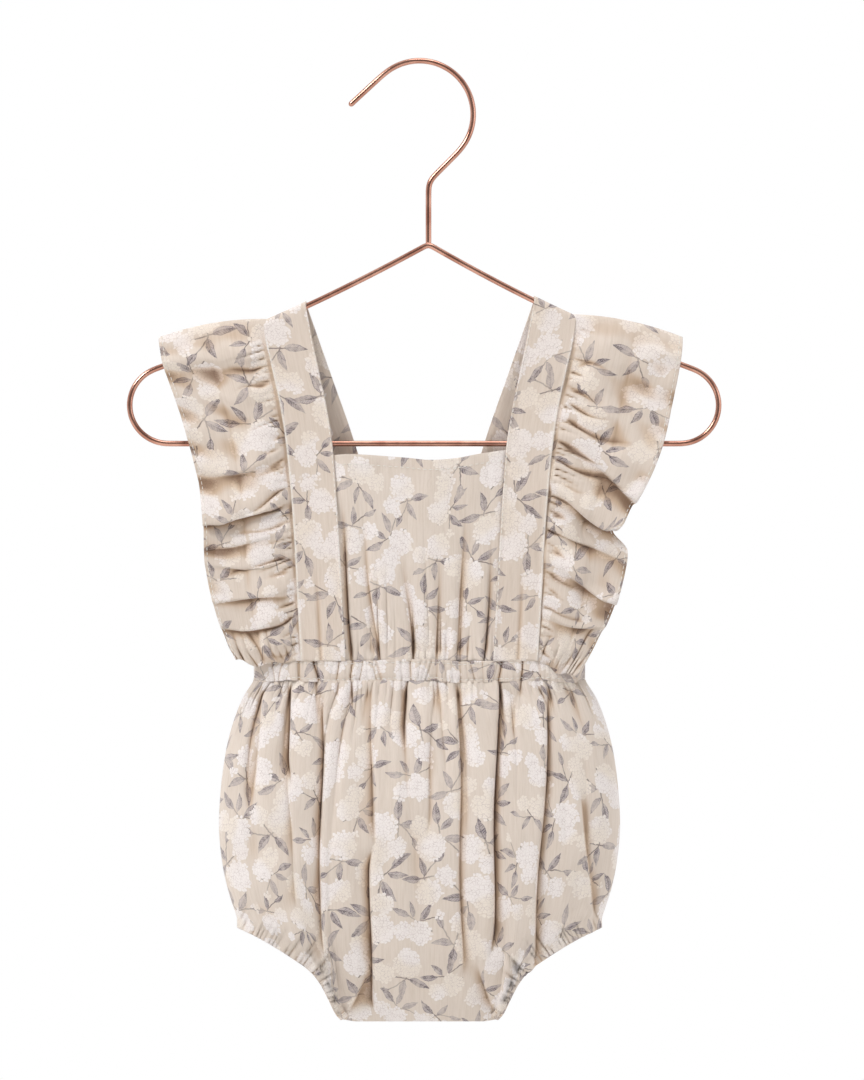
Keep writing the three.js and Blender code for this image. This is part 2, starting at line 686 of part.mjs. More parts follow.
function bloomerGeometry(facing) {
  const front = facing < 0;
  const rows = front ? BLOOMER.rows : BLOOMER.backRows;
  const columns = (front ? GATHERS.front : GATHERS.back) * GATHERS.columnsEach;
  const grid = steps(rows).map((f) => {
    const fall = lerp(f, Math.sin(f * Math.PI / 2), 0.4);
    return steps(columns).map((share) => bloomerPoint(facing, share, fall));
  });
  const lastAlong = steps(columns).map((share) => lowerEdge(acrossAt(share)).outward);
  return clothWall(grid, { flattenEnds: true, lastAlong });
}

const romper = new THREE.Group();

function addPiece(name, geometry, material) {
  const piece = new THREE.Mesh(geometry, material);
  piece.name = name;
  romper.add(piece);
}

addPiece('hanger_hook', hookGeometry(), wireMaterial);
addPiece('hanger_bar', barGeometry(), wireMaterial);
for (const [word, side] of [['left', -1], ['right', 1]]) {
  addPiece(`hanger_arm_${word}`, armGeometry(side), wireMaterial);
  addPiece(`hanger_end_${word}`, roundEndGeometry(side), wireMaterial);
  addPiece(`strap_${word}`, strapGeometry(side), clothMaterial);
  addPiece(`ruffle_${word}`, ruffleGeometry(side), clothMaterial);
  addPiece(`leg_casing_${word}`, legCasingGeometry(side), clothMaterial);
}
addPiece('front_bib', bibGeometry(), clothMaterial);
addPiece('waist_casing', waistGeometry(), clothMaterial);
addPiece('bloomer_front', bloomerGeometry(-1), clothMaterial);
addPiece('bloomer_back', bloomerGeometry(1), clothMaterial);

export default romper;
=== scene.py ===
import math

import bmesh
import bpy
import numpy as np
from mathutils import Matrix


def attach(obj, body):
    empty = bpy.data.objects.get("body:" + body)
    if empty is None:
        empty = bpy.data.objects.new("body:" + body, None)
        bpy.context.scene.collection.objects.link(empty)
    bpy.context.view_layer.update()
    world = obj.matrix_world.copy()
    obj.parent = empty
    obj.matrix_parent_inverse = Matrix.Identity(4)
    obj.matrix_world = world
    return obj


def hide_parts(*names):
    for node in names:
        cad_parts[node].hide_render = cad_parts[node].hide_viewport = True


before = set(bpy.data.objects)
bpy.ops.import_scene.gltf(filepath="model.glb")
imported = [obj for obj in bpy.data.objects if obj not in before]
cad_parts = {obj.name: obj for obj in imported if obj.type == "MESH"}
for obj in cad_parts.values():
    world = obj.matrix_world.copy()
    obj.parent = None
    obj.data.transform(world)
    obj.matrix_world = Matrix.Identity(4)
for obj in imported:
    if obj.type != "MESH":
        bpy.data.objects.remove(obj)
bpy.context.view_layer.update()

# The studio: a plain pale floor below the hanging garment and soft light from large panels.
# Shapes are worked out in millimetres from the inside of the hook's top, and the camera stands
# level with the middle of the picture, which is 540 mm high at the garment.
MM = 0.001
PICTURE = {"across": 6.25, "down": 238.2, "height": 540}
CAMERA_AWAY = 3500
SENSOR = 36
FLOOR = {"down": 0.72, "half": 2.6, "colour": (0.86, 0.85, 0.83, 1)}
PANELS = [
    {"name": "key", "at": (-1.5, -1.25, 1.2), "size": 0.8, "power": 30},
    {"name": "fill", "at": (1.9, -1.3, 0.0), "size": 1.4, "power": 8},
    {"name": "top", "at": (0.2, -0.5, 1.7), "size": 1.0, "power": 10},
]
WORLD = {"front": 0.28, "back": 1.0, "from": -0.8, "to": 0.0}
FLOOR_ROUGH = 0.8


def fill(node, inputs):
    """Links or sets a shader node's inputs, given by name or number."""
    for name, value in inputs.items():
        if isinstance(value, Socket):
            node.id_data.links.new(value.socket, node.inputs[name])
        else:
            node.inputs[name].default_value = value


class Socket:
    """A shader socket. An operator between it and a number or a socket adds a Math node, and
    node() adds any other node of the same tree."""

    def __init__(self, socket):
        self.socket = socket

    def node(self, kind, settings=(), inputs=(), output=0):
        """Adds a node: its settings first, then values or links for sockets by name or number."""
        made = self.socket.id_data.nodes.new("ShaderNode" + kind)
        for name, value in dict(settings).items():
            setattr(made, name, value)
        fill(made, dict(inputs))
        return Socket(made.outputs[output])

    def math(self, operation, first, second=0.0):
        return self.node("Math", {"operation": operation}, {0: first, 1: second})

    def __add__(self, other):
        return self.math("ADD", self, other)

    def __sub__(self, other):
        return self.math("SUBTRACT", self, other)

    def __rsub__(self, other):
        return self.math("SUBTRACT", other, self)

    def __mul__(self, other):
        return self.math("MULTIPLY", self, other)

    def __truediv__(self, other):
        return self.math("DIVIDE", self, other)

    def __abs__(self):
        return self.math("ABSOLUTE", self)

    __radd__ = __add__
    __rmul__ = __mul__

    def sine(self):
        return self.math("SINE", self)

    def larger(self, other):
        return self.math("MAXIMUM", self, other)

    def smaller(self, other):
        return self.math("MINIMUM", self, other)

    def ramp(self, start, end):
        """0 before start and 1 after end, with a smooth rise between them."""
        return self.node("MapRange", {"interpolation_type": "SMOOTHSTEP"},
                         {"Value": self, "From Min": start, "From Max": end})

    def noise(self, scale, detail=2.0, roughness=0.5, output=0):
        """Soft noise at this place, with about scale waves to each unit of length."""
        return self.node("TexNoise", {}, {"Vector": self, "Scale": scale, "Detail": detail,
                                          "Roughness": roughness}, output)

    def blend(self, first, second, mode="MIX"):
        """The first colour where this is 0 and the second, or their product, where it is 1."""
        return self.node("Mix", {"data_type": "RGBA", "blend_type": mode},
                         {0: self, 6: first, 7: second}, 2)


def start_material(name):
    """A new material with nothing in it but its shader and its output."""
    material = bpy.data.materials.new(name)
    material.use_nodes = True
    return material, material.node_tree.nodes["Principled BSDF"]


camera_data = bpy.data.cameras.new("camera")
camera_data.sensor_fit = "VERTICAL"
camera_data.sensor_height = SENSOR
camera_data.lens = SENSOR * CAMERA_AWAY / PICTURE["height"]
camera = bpy.data.objects.new("camera", camera_data)
camera.location = (PICTURE["across"] * MM, -CAMERA_AWAY * MM, -PICTURE["down"] * MM)
camera.rotation_euler = (math.pi / 2, 0, 0)
bpy.context.collection.objects.link(camera)
bpy.context.scene.camera = camera
bpy.context.scene.view_settings.view_transform = "Standard"

for panel in PANELS:
    lamp = bpy.data.lights.new(panel["name"], "AREA")
    lamp.size = panel["size"]
    lamp.energy = panel["power"]
    light = bpy.data.objects.new(panel["name"], lamp)
    light.location = panel["at"]
    toward = np.array((0, 0, -PICTURE["down"] * MM)) - np.array(panel["at"])
    yaw = math.atan2(toward[1], toward[0]) - math.pi / 2
    pitch = math.atan2(toward[2], math.hypot(toward[0], toward[1])) + math.pi / 2
    light.rotation_euler = (pitch, 0, yaw)
    bpy.context.collection.objects.link(light)

world = bpy.data.worlds.new("studio")
world.use_nodes = True
bpy.context.scene.world = world
sky = world.node_tree.nodes["Background"]
ray = Socket(sky.outputs[0]).node("TexCoord")
depth_of_ray = ray.node("SeparateXYZ", inputs={0: ray}, output=1)
brightness = depth_of_ray.ramp(WORLD["from"], WORLD["to"])
greys = [(v, v, v, 1) for v in (WORLD["front"], WORLD["back"])]
fill(sky, {"Color": brightness.blend(*greys)})

floor_mesh = bpy.data.meshes.new("floor")
floor_corners = [(-1, -1), (1, -1), (1, 1), (-1, 1)]
floor_mesh.from_pydata(
    [(x * FLOOR["half"], y * FLOOR["half"], -FLOOR["down"]) for x, y in floor_corners],
    [], [(0, 1, 2, 3)])
floor = bpy.data.objects.new("floor", floor_mesh)
bpy.context.collection.objects.link(floor)
floor_paint, floor_shader = start_material("floor_paint")
fill(floor_shader, {"Base Color": FLOOR["colour"], "Roughness": FLOOR_ROUGH})
floor_mesh.materials.append(floor_paint)

# The hanger: one round steel wire, plated with polished copper. It is bent into an open hook, a
# short straight neck, and a flat frame of two sloped arms, two round ends and a straight bottom bar,
# whose two ends meet under the neck. The small weld there on the real hanger is not built.
WIRE_RADIUS = 1.45
HOOK = {"radius": 27, "tip_angle": 132.7, "tip_length": 21.4, "neck_angle": -45, "inside": 1.6}
NECK = {"x": 4.5, "bottom": 89.2, "joint": 90.3}
ROUND_END = {"radius": 19.2, "down": 170.8, "left": -125.75, "right": 130.45, "arm_slope": 20}
WIRE_SIDES = 14
WIRE_STEP = 1.4
COPPER = {
    "colour": (0.61, 0.33, 0.25, 1), "deep": (0.43, 0.20, 0.145, 1), "patches": 90,
    "smooth": 0.13, "brushed": 0.22, "streaks": 900, "streak_height": 0.00001,
}


def mix(first, second, share):
    """first where share is 0, second where it is 1, and an even blend between."""
    return first + (second - first) * share


def smooth(value, start, end):
    """0 before start, 1 after end, and a smooth rise between: 3f squared minus 2f cubed."""
    f = np.clip((value - start) / (end - start), 0, 1)
    return f * f * (3 - 2 * f)


def through(table, key, column):
    """A smooth curve through one column of a table against its key column. Between two rows it is
    a cubic whose slope at each row is the slope between that row's neighbours."""
    at = np.array(table[key], float)
    value = np.array(table[column], float)
    before = np.maximum(np.arange(at.size) - 1, 0)
    after = np.minimum(np.arange(at.size) + 1, at.size - 1)
    slope = (value[after] - value[before]) / (at[after] - at[before])

    def read(wanted):
        i = np.clip(np.searchsorted(at, wanted) - 1, 0, at.size - 2)
        width = at[i + 1] - at[i]
        f = np.clip((wanted - at[i]) / width, 0, 1)
        bend = f * (1 - f) * width * ((1 - f) * slope[i] - f * slope[i + 1])
        return mix(value[i], value[i + 1], f * f * (3 - 2 * f)) + bend
    return read


def arm_end(side):
    """Where an arm runs into its round end: on the end's circle, where it has the arm's slope."""
    angle = math.radians(ROUND_END["arm_slope"])
    centre = ROUND_END["left"] if side < 0 else ROUND_END["right"]
    x = centre + side * ROUND_END["radius"] * math.sin(angle)
    return x, ROUND_END["down"] - ROUND_END["radius"] * math.cos(angle)


def arm_down(x):
    """Height of the arms' middle at x: from the neck's joint, a parabola that ends with the
    round end's slope at the round end."""
    right = np.asarray(x) > NECK["x"]
    end_x = np.where(right, arm_end(1)[0], arm_end(-1)[0])
    end_down = np.where(right, arm_end(1)[1], arm_end(-1)[1])
    length = np.abs(end_x - NECK["x"])
    slope = math.tan(math.radians(ROUND_END["arm_slope"]))
    bow = (end_down - NECK["joint"] - slope * length) / length ** 2
    d = np.abs(x - NECK["x"])
    return NECK["joint"] + (slope + 2 * bow * length) * d - bow * d * d


def even_steps(path, step, closed=False):
    """Points at even steps of length on a path of close points, with straight lines between."""
    if closed:
        path = np.vstack([path, path[:1]])
    length = np.concatenate([[0], np.cumsum(np.linalg.norm(np.diff(path, axis=0), axis=1))])
    count = max(int(length[-1] / step), 4)
    wanted = np.linspace(0, length[-1], count + 1)
    points = np.stack([np.interp(wanted, length, column) for column in path.T], axis=1)
    return points[:-1] if closed else points


def round_bends(path, times, closed=False):
    """Rounds a path's corners: each point moves to the mean of itself and its two neighbours."""
    for _ in range(times):
        moved = (np.roll(path, 1, axis=0) + path + np.roll(path, -1, axis=0)) / 3
        if not closed:
            moved[[0, -1]] = path[[0, -1]]
        path = moved
    return path


def wire_tube(path, closed):
    """A round tube along a flat path of (x, down): rings about the path in its normal and the Y
    direction. An open tube ends in two shrinking rings, so its ends are rounded."""
    ahead = np.roll(path, -1, axis=0) - np.roll(path, 1, axis=0)
    if not closed:
        ahead[0] = path[1] - path[0]
        ahead[-1] = path[-1] - path[-2]
    ahead /= np.linalg.norm(ahead, axis=1)[:, None]
    radius = np.full(len(path), WIRE_RADIUS)
    if not closed:
        dome = np.array([0.25, 0.62, 0.87, 0.98])
        lift = np.array([0, 0.2, 0.5, 0.8]) * WIRE_RADIUS
        first = path[0] + ahead[0] * (lift - WIRE_RADIUS)[:, None]
        last = path[-1] - ahead[-1] * (lift - WIRE_RADIUS)[::-1, None]
        path = np.vstack([first, path, last])
        ahead = np.vstack([np.repeat(ahead[:1], 4, axis=0), ahead, np.repeat(ahead[-1:], 4, axis=0)])
        radius = np.concatenate([dome * WIRE_RADIUS, radius, dome[::-1] * WIRE_RADIUS])
    turn = np.linspace(0, 2 * np.pi, WIRE_SIDES, endpoint=False)
    outward = np.stack([-ahead[:, 1], ahead[:, 0]], axis=1)
    flat = outward[:, None, :] * (radius[:, None] * np.cos(turn))[:, :, None]
    x = path[:, None, 0] + flat[:, :, 0]
    z = -(path[:, None, 1] + flat[:, :, 1])
    y = np.broadcast_to(radius[:, None] * np.sin(turn), x.shape)
    return np.stack([x, y, z], axis=2)


def ring_faces(rings, sides, closed, first=0):
    """Quads between neighbouring rings, and a many-sided cap on each end of an open tube."""
    ring = np.arange(rings if closed else rings - 1)[:, None]
    side = np.arange(sides)[None, :]
    beyond = (ring + 1) % rings
    beside = (side + 1) % sides
    corners = [ring * sides + side, ring * sides + beside,
               beyond * sides + beside, beyond * sides + side]
    quads = np.stack([np.broadcast_to(c, (ring.size, sides)) for c in corners], axis=2)
    faces = [tuple(int(v) + first for v in quad) for quad in quads.reshape(-1, 4)]
    if not closed:
        last = first + (rings - 1) * sides
        faces.append(tuple(range(first + sides - 1, first - 1, -1)))
        faces.append(tuple(range(last, last + sides)))
    return faces


def new_piece(name, vertices, faces, material):
    """A smooth mesh piece on the one body, from points in millimetres."""
    mesh = bpy.data.meshes.new(name)
    mesh.from_pydata((np.asarray(vertices).reshape(-1, 3) * MM).tolist(), [], faces)
    mesh.polygons.foreach_set("use_smooth", np.ones(len(mesh.polygons), bool))
    mesh.materials.append(material)
    mesh.update()
    piece = bpy.data.objects.new(name, mesh)
    bpy.context.collection.objects.link(piece)
    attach(piece, "root")
    return piece


def outward_faces(piece):
    """Turns the faces of a closed mesh outwards."""
    shell = bmesh.new()
    shell.from_mesh(piece.data)
    bmesh.ops.recalc_face_normals(shell, faces=shell.faces)
    shell.to_mesh(piece.data)
    shell.free()


def copper_plate():
    """Polished copper: warm metal, a little deeper in patches, with faint lines from drawing."""
    material, shader = start_material("copper_plate")
    place = Socket(shader.outputs[0]).node("TexCoord", output=3)
    colour = place.noise(COPPER["patches"]).ramp(0.35, 0.7).blend(COPPER["colour"], COPPER["deep"])
    streak = place.noise(COPPER["streaks"], detail=3.0)
    rough = COPPER["smooth"] + streak.ramp(0.35, 0.75) * (COPPER["brushed"] - COPPER["smooth"])
    relief = place.node("Bump", inputs={"Height": streak, "Distance": COPPER["streak_height"]})
    fill(shader, {"Base Color": colour, "Roughness": rough, "Normal": relief, "Metallic": 1})
    return material


hook_turn = np.radians(np.linspace(HOOK["tip_angle"], HOOK["neck_angle"], 70))
hook_down = HOOK["radius"] - HOOK["inside"]
hook_arc = np.stack([HOOK["radius"] * np.cos(hook_turn),
                     hook_down - HOOK["radius"] * np.sin(hook_turn)], axis=1)
tip_turn = math.radians(HOOK["tip_angle"] - 90)
tip_way = np.array([-math.cos(tip_turn), math.sin(tip_turn)])
tip = hook_arc[0] + np.linspace(HOOK["tip_length"], 1, 16)[:, None] * tip_way
corner = hook_arc[-1][1] + hook_arc[-1][0] - NECK["x"]
neck = np.array([(NECK["x"], corner), (NECK["x"], NECK["bottom"])])
hook_path = even_steps(np.vstack([tip, hook_arc, neck]), WIRE_STEP)
hook_rings = wire_tube(round_bends(hook_path, 6), closed=False)

end_turn = np.radians(np.linspace(90 - ROUND_END["arm_slope"], -90, 40))
frame_path = []
for side, centre in ((-1, ROUND_END["left"]), (1, ROUND_END["right"])):
    arm_x = np.linspace(NECK["x"], arm_end(side)[0], 60)
    arm = np.stack([arm_x, arm_down(arm_x)], axis=1)
    end_x = centre + side * ROUND_END["radius"] * np.cos(end_turn)
    end = np.stack([end_x, ROUND_END["down"] - ROUND_END["radius"] * np.sin(end_turn)], axis=1)
    half = np.vstack([arm, end[1:]])
    frame_path.append(half if side < 0 else half[::-1])
frame_path = even_steps(np.vstack([frame_path[0], frame_path[1][:-1]]), WIRE_STEP, closed=True)
frame_rings = wire_tube(round_bends(frame_path, 2, closed=True), closed=True)

wire_hanger = new_piece(
    "wire_hanger", np.vstack([hook_rings.reshape(-1, 3), frame_rings.reshape(-1, 3)]),
    ring_faces(len(hook_rings), WIRE_SIDES, False)
    + ring_faces(len(frame_rings), WIRE_SIDES, True, first=len(hook_rings) * WIRE_SIDES),
    copper_plate())
outward_faces(wire_hanger)
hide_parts("hanger_hook", "hanger_bar", "hanger_arm_left", "hanger_arm_right",
            "hanger_end_left", "hanger_end_right")

# The straps: each is one long folded band of the printed cotton, from the front waist over the
# hanger's arm to the middle of the back waist, with a row of stitches close to each edge.
# This section also holds the cloth that every piece is cut from. It is a light, matt, slightly
# slubby cotton, beige, with round heads of small florets, almond leaves and thin curved stems.
CLOTH_THICK = 0.5
GROUND = {"lit": (0.742, 0.648, 0.574, 1), "worn": (0.63, 0.53, 0.445, 1)}
SLUB = {"across": 1.1, "along": 0.06, "tint": 0.5, "height": 0.10}
CRINKLE = {"across": 0.22, "along": 0.09, "height": 0.6}
WEAVE = {"pitch": 0.42, "height": 0.045}
# Painted shade: tan and, where deeper, brown multiplied into the cloth's colour in its creases and
# hollows, and a pale painted highlight blended in where the shade attribute is below 0.
PAINTED_SHADE = {"tan": (0.78, 0.65, 0.52, 1), "brown": (0.36, 0.26, 0.20, 1), "tan_share": 0.9,
          "brown_share": 0.78, "pale": (0.86, 0.79, 0.72, 1), "pale_share": 0.65}
BLOSSOM = {
    "white": (0.87, 0.81, 0.785, 1), "cream": (0.83, 0.745, 0.66, 1), "line": (0.56, 0.47, 0.45, 1),
    "floret": 1.6, "finer": 1.9, "tone_size": 27,
}
LEAF = {"face": (0.50, 0.435, 0.44, 1), "line": (0.11, 0.085, 0.10, 1), "hatch": 1.15, "bow": 2.6,
        "ink_scale": 0.11}
STEM = {"colour": (0.22, 0.175, 0.165, 1), "half_width": 0.26}
# One sprig for each of two lattices, whose squares' middles lie between one another's. Places are
# in mm from the sprig's middle. A leaf starts at its x and y and points along its angle, as a stem
# does, whose line bends aside by its bow times the square of the length.
LATTICE = {"cell": 33.5, "turn": 0.52, "jitter": 0.15, "smaller": 0.85, "larger": 1.22}
SPRIGS = [
    {"shift": (0.13, 0.41),
     "heads": [(3.2, 4.6, 6.9), (-6.6, 5.6, 5.2), (12.4, -6.4, 2.4)],
     "leaves": [(-4, -2.6, 203, 11, 3.7), (2.4, -2.4, -66, 11.5, 3.8), (-1.5, -2.4, -114, 9.5, 3.2)],
     "stems": [(-6, -3.4, 16, 17, 0.004), (1.5, -1.4, -28, 11.5, 0.01)]},
    {"shift": (0.63, 0.91),
     "heads": [(-0.4, 5.8, 7.0), (9.2, -0.8, 4.8)],
     "leaves": [(-2.5, -1.8, 186, 11.5, 3.8), (-0.5, -2.6, -96, 10.5, 3.6), (5.5, -8.2, -38, 8, 3)],
     "stems": [(-3.5, -2.0, 4, 11, 0.0), (-0.8, -2.2, -48, 9.5, 0.012), (-1, -2, 80, 5, 0.0)]},
]

STRAP_FRONT = {
    "down": [118, 138, 154, 171, 191, 229, 268, 298],
    "inner": [57.4, 53.5, 50.2, 46.5, 43.4, 40.6, 38.3, 36.8],
    "outer": [79.4, 77.0, 73.4, 69.7, 66.6, 63.1, 60.9, 59.1],
}
STRAP_BACK = {
    "down": [118, 156, 187, 240, 298],
    "inner": [57.4, 44.1, 33.3, 17.3, 0.6],
    "outer": [79.4, 67.9, 57.2, 41.2, 24.6],
}
BODICE_DEPTH = {
    "down": [118, 126, 150, 190, 215, 250, 298],
    "depth": [2.5, 2.8, 3.8, 5.6, 7.4, 10, 12.5],
}
STRAP = {"near_top": 68, "turn": 0.02, "over": 2.5, "rise": 2.15, "columns": 40, "rows": 150,
         "turn_rows": 14, "thick": 0.8, "groove": 0.55, "shade": 0.13, "stitch_columns": (1, -2)}
# A kind of gathers has its count across the piece, its depth in mm, its shortest and longest reach
# down the cloth, and a cusp, which is the smaller the sharper its valleys are.
WAIST = {"half_width": 82.5, "half_depth": 13, "top": 298.2, "height": 10.5,
         "narrow": {"count": 41, "depth": 1.3, "reach": (1, 1.4), "cusp": 0.6},
         "deep": {"count": 17, "depth": 2.6, "reach": (1, 1.4), "cusp": 0.45}}
SEAM_GAP = 0.3
STITCH = {"length": 2.1, "pitch": 2.9, "radius": 0.2, "lift": 0.22, "sides": 6}
THREAD = (0.90, 0.855, 0.80, 1)
THREAD_SHADE = (0.72, 0.684, 0.64, 1)


def printed_cotton():
    """The printed cloth, from the piece's own flat coordinates in mm. Each lattice is the plane
    cut into squares, each with a sprig moved and turned by that square's own random numbers. A
    blossom is every floret cell whose middle lies in one of the sprig's circles, so that its edge is
    scalloped. A leaf is the space between two arcs, and a stem is a thin parabola."""
    material, shader = start_material("printed_cotton")
    flat = Socket(shader.outputs[0]).node("UVMap", {"uv_map": "cloth"})

    def vector(operation, first, second=(0, 0, 0), output=0):
        return flat.node("VectorMath", {"operation": operation}, {0: first, 1: second}, output)

    def scaled(place, across, along):
        return vector("MULTIPLY", place, (across, along, 0))

    def parts(place):
        return [place.node("SeparateXYZ", inputs={0: place}, output=i) for i in (0, 1)]

    def turned(place, angle):
        return place.node("VectorRotate", {"rotation_type": "Z_AXIS"},
                          {"Vector": place, "Angle": angle})

    def in_sprig(place, shift):
        """A place in mm from the middle of the sprig of the lattice square that it is in."""
        scale = 1 / LATTICE["cell"]
        lattice = vector("ADD", scaled(turned(place, LATTICE["turn"]), scale, scale), (*shift, 0))
        square = vector("FLOOR", lattice)
        chance = square.node("TexWhiteNoise", {"noise_dimensions": "3D"},
                             {"Vector": vector("ADD", square, (*shift, 0.5))}, 1)
        chance_move = vector("SUBTRACT", chance, (0.5, 0.5, 0.5))
        chance_move = scaled(chance_move, LATTICE["jitter"], LATTICE["jitter"])
        middle = vector("ADD", chance_move, (0.5, 0.5, 0))
        offset = vector("SUBTRACT", vector("SUBTRACT", lattice, square), middle)
        angle = chance.node("SeparateXYZ", inputs={0: chance}, output=2) * (6 * math.pi)
        size = chance.node("SeparateXYZ", inputs={0: chance}, output=0)
        stretch = LATTICE["smaller"] + size * (LATTICE["larger"] - LATTICE["smaller"])
        return offset.node("VectorMath", {"operation": "SCALE"},
                           {0: turned(offset, angle), "Scale": stretch * LATTICE["cell"]})

    def from_root(place, x, y, angle):
        """Lengths along and beside a leaf or a stem, from its root."""
        return parts(turned(vector("SUBTRACT", place, (x, y, 0)), math.radians(-angle)))

    def from_edge_of_cell(scale):
        return flat.node("TexVoronoi", {"voronoi_dimensions": "2D", "feature": "DISTANCE_TO_EDGE"},
                         {"Vector": bent, "Scale": scale})

    def most(masks):
        """The largest of some masks."""
        total = masks[0]
        for mask in masks[1:]:
            total = total.larger(mask)
        return total

    cells = 1 / BLOSSOM["floret"]
    ripple = flat.noise(0.6, detail=1.0, output=1)
    bent = vector("ADD", flat, scaled(vector("SUBTRACT", ripple, (0.5, 0.5, 0.5)), 0.9, 0.9))
    floret_place = flat.node("TexVoronoi", {"voronoi_dimensions": "2D"},
                             {"Vector": bent, "Scale": cells}, 2)
    from_middle = vector("DISTANCE", bent, floret_place, output=1)

    insides, stems, bodies, lines = [], [], [], []
    for sprig in SPRIGS:
        near = in_sprig(floret_place, sprig["shift"])
        for x, y, radius in sprig["heads"]:
            insides.append(radius - vector("DISTANCE", near, (x, y, 0), output=1))
        here = in_sprig(bent, sprig["shift"])
        for x, y, angle, length, bow in sprig["stems"]:
            along, aside = from_root(here, x, y, angle)
            off_line = abs(aside - along * along * bow)
            off_end = (abs(along - length / 2) - length / 2).larger(0)
            off_stem = off_line + off_end
            stems.append(1 - off_stem.ramp(STEM["half_width"] * 0.5, STEM["half_width"] * 1.7))
        for x, y, angle, length, width in sprig["leaves"]:
            along, aside = from_root(here, x, y, angle)
            share = (along / length).larger(0).smaller(1)
            half = share * (1 - share) * (1.45 - share * 0.9) * (2 * width)
            off_rib = aside + share * (1 - share) * math.copysign(LEAF["bow"], angle)
            inside = half - abs(off_rib)
            body = inside.ramp(-0.05, 0.25)
            outline = 1 - abs(inside - 0.15).ramp(0.12, 0.36)
            rib = 1 - abs(off_rib).ramp(0.08, 0.34)
            vein = ((along - abs(off_rib) * 1.1) * (2 * math.pi / LEAF["hatch"])).sine().ramp(-0.1, 0.9)
            darker = off_rib.ramp(-0.1, 0.1) * 0.42
            bodies.append(body)
            lines.append(outline.larger(rib).larger(vein * 0.6 + darker) * body)
    blossom, stem, leaf, leaf_line = most(insides), most(stems), most(bodies), most(lines)

    in_blossom = blossom.ramp(-0.05, 0.05)
    petal = 1 - from_middle.ramp(BLOSSOM["floret"] * 0.5, BLOSSOM["floret"] * 0.68)
    petal = petal.larger(blossom.ramp(0.5, 1.5))
    blossom_mask = in_blossom * petal
    petal_lines = 1 - from_edge_of_cell(cells).ramp(0.01, 0.09)
    fine_lines = 1 - from_edge_of_cell(cells * BLOSSOM["finer"]).ramp(0.01, 0.08)
    drawn = petal_lines.larger(fine_lines * 0.55)
    fade = flat.noise(0.35).ramp(0.38, 0.66)
    tone = flat.noise(1 / BLOSSOM["tone_size"], detail=1.0)
    petals = tone.ramp(0.46, 0.6).blend(BLOSSOM["white"], BLOSSOM["cream"])
    petals = (drawn * (0.32 + fade * 0.65)).blend(petals, BLOSSOM["line"])

    slub = scaled(flat, SLUB["across"], SLUB["along"]).noise(1.0, detail=3.0, roughness=0.6)
    shade = slub.ramp(0.35, 0.75) * SLUB["tint"] + flat.noise(0.02).ramp(0.3, 0.7) * 0.2
    ground = shade.blend(GROUND["lit"], GROUND["worn"])
    wash = flat.noise(0.5, detail=3.0).ramp(0.3, 0.7)
    inked = flat.noise(LEAF["ink_scale"]).ramp(0.4, 0.6)
    leaves = (leaf_line * (0.4 + wash * 0.3 + inked * 0.35)).blend(LEAF["face"], LEAF["line"])
    colour = (stem * (0.5 + inked * 0.4)).blend(ground, STEM["colour"])
    colour = (leaf * (0.42 + wash * 0.28 + inked * 0.3)).blend(colour, leaves)
    colour = blossom_mask.blend(colour, petals)
    # Painted shade from each piece's per-point attribute: tan, then brown, in creases and hollows;
    # below 0 it blends in a pale painted highlight.
    painted_shade = flat.node("Attribute", {"attribute_name": "painted_shade"}, output=2)
    colour = (painted_shade.ramp(0.0, 0.55) * PAINTED_SHADE["tan_share"]).blend(colour, PAINTED_SHADE["tan"], "MULTIPLY")
    colour = (painted_shade.ramp(0.4, 1.0) * PAINTED_SHADE["brown_share"]).blend(colour, PAINTED_SHADE["brown"], "MULTIPLY")
    colour = ((painted_shade * -1).ramp(0.0, 1.0) * PAINTED_SHADE["pale_share"]).blend(colour, PAINTED_SHADE["pale"])

    weave = (parts(flat)[0] * (2 * math.pi / WEAVE["pitch"])).sine() * \
        (parts(flat)[1] * (2 * math.pi / WEAVE["pitch"])).sine()
    crinkle = scaled(flat, CRINKLE["across"], CRINKLE["along"])
    crinkle = crinkle.noise(1.0, detail=4.0, roughness=0.55)
    height = slub * SLUB["height"] + crinkle * CRINKLE["height"] + weave * WEAVE["height"]
    relief = flat.node("Bump", inputs={"Height": height, "Distance": MM, "Strength": 1.0})
    fill(shader, {"Base Color": colour, "Roughness": 0.86 + slub * 0.1, "Normal": relief,
                  "Sheen Weight": 0.25, "Sheen Roughness": 0.5, "Specular IOR Level": 0.3})
    return material


def sewing_thread():
    """Matt cotton thread, twisted, a little lighter than the cloth."""
    material, shader = start_material("sewing_thread")
    twist = Socket(shader.outputs[0]).node("TexCoord", output=3).noise(2500.0).ramp(0.3, 0.7)
    fill(shader, {"Base Color": twist.blend(THREAD, THREAD_SHADE), "Roughness": 0.85})
    return material


COTTON = printed_cotton()
COTTON_THREAD = sewing_thread()


def fullness(across):
    """The plan of the waist: 1 in the middle, falling to 0 at the two sides."""
    return (1 - np.minimum(np.abs(across), 1) ** 3.2) ** 0.55


def hash_of(number, seed):
    """A fixed random-looking value from 0 to 1 for each whole number."""
    return np.modf(np.abs(np.sin(number * 12.9898 + seed * 78.233)) * 43758.5453)[0]


def gathers(place, fall, kind, seed):
    """Gathers below a seam, as a depth: valleys with sharp bottoms between round crests, at uneven
    spacing. Each one has a depth of its own and fades out at a reach of its own down the cloth."""
    turns = place * kind["count"]
    phase = turns + 0.32 * np.sin(turns * 0.83 + seed) + 0.22 * np.sin(turns * 2.1 + 2 * seed)
    phase = phase + 0.16 * np.sin(fall * 6 + place * 17 + seed)
    which = np.floor(phase)
    valley = 1 - np.abs(np.cos(np.pi * phase)) ** kind["cusp"]
    own_reach = mix(*kind["reach"], hash_of(which, seed) ** 1.5)
    own_depth = kind["depth"] * (0.35 + 0.65 * hash_of(which, seed + 3))
    return own_depth * valley * (1 - smooth(fall, 0.15 * own_reach, own_reach))


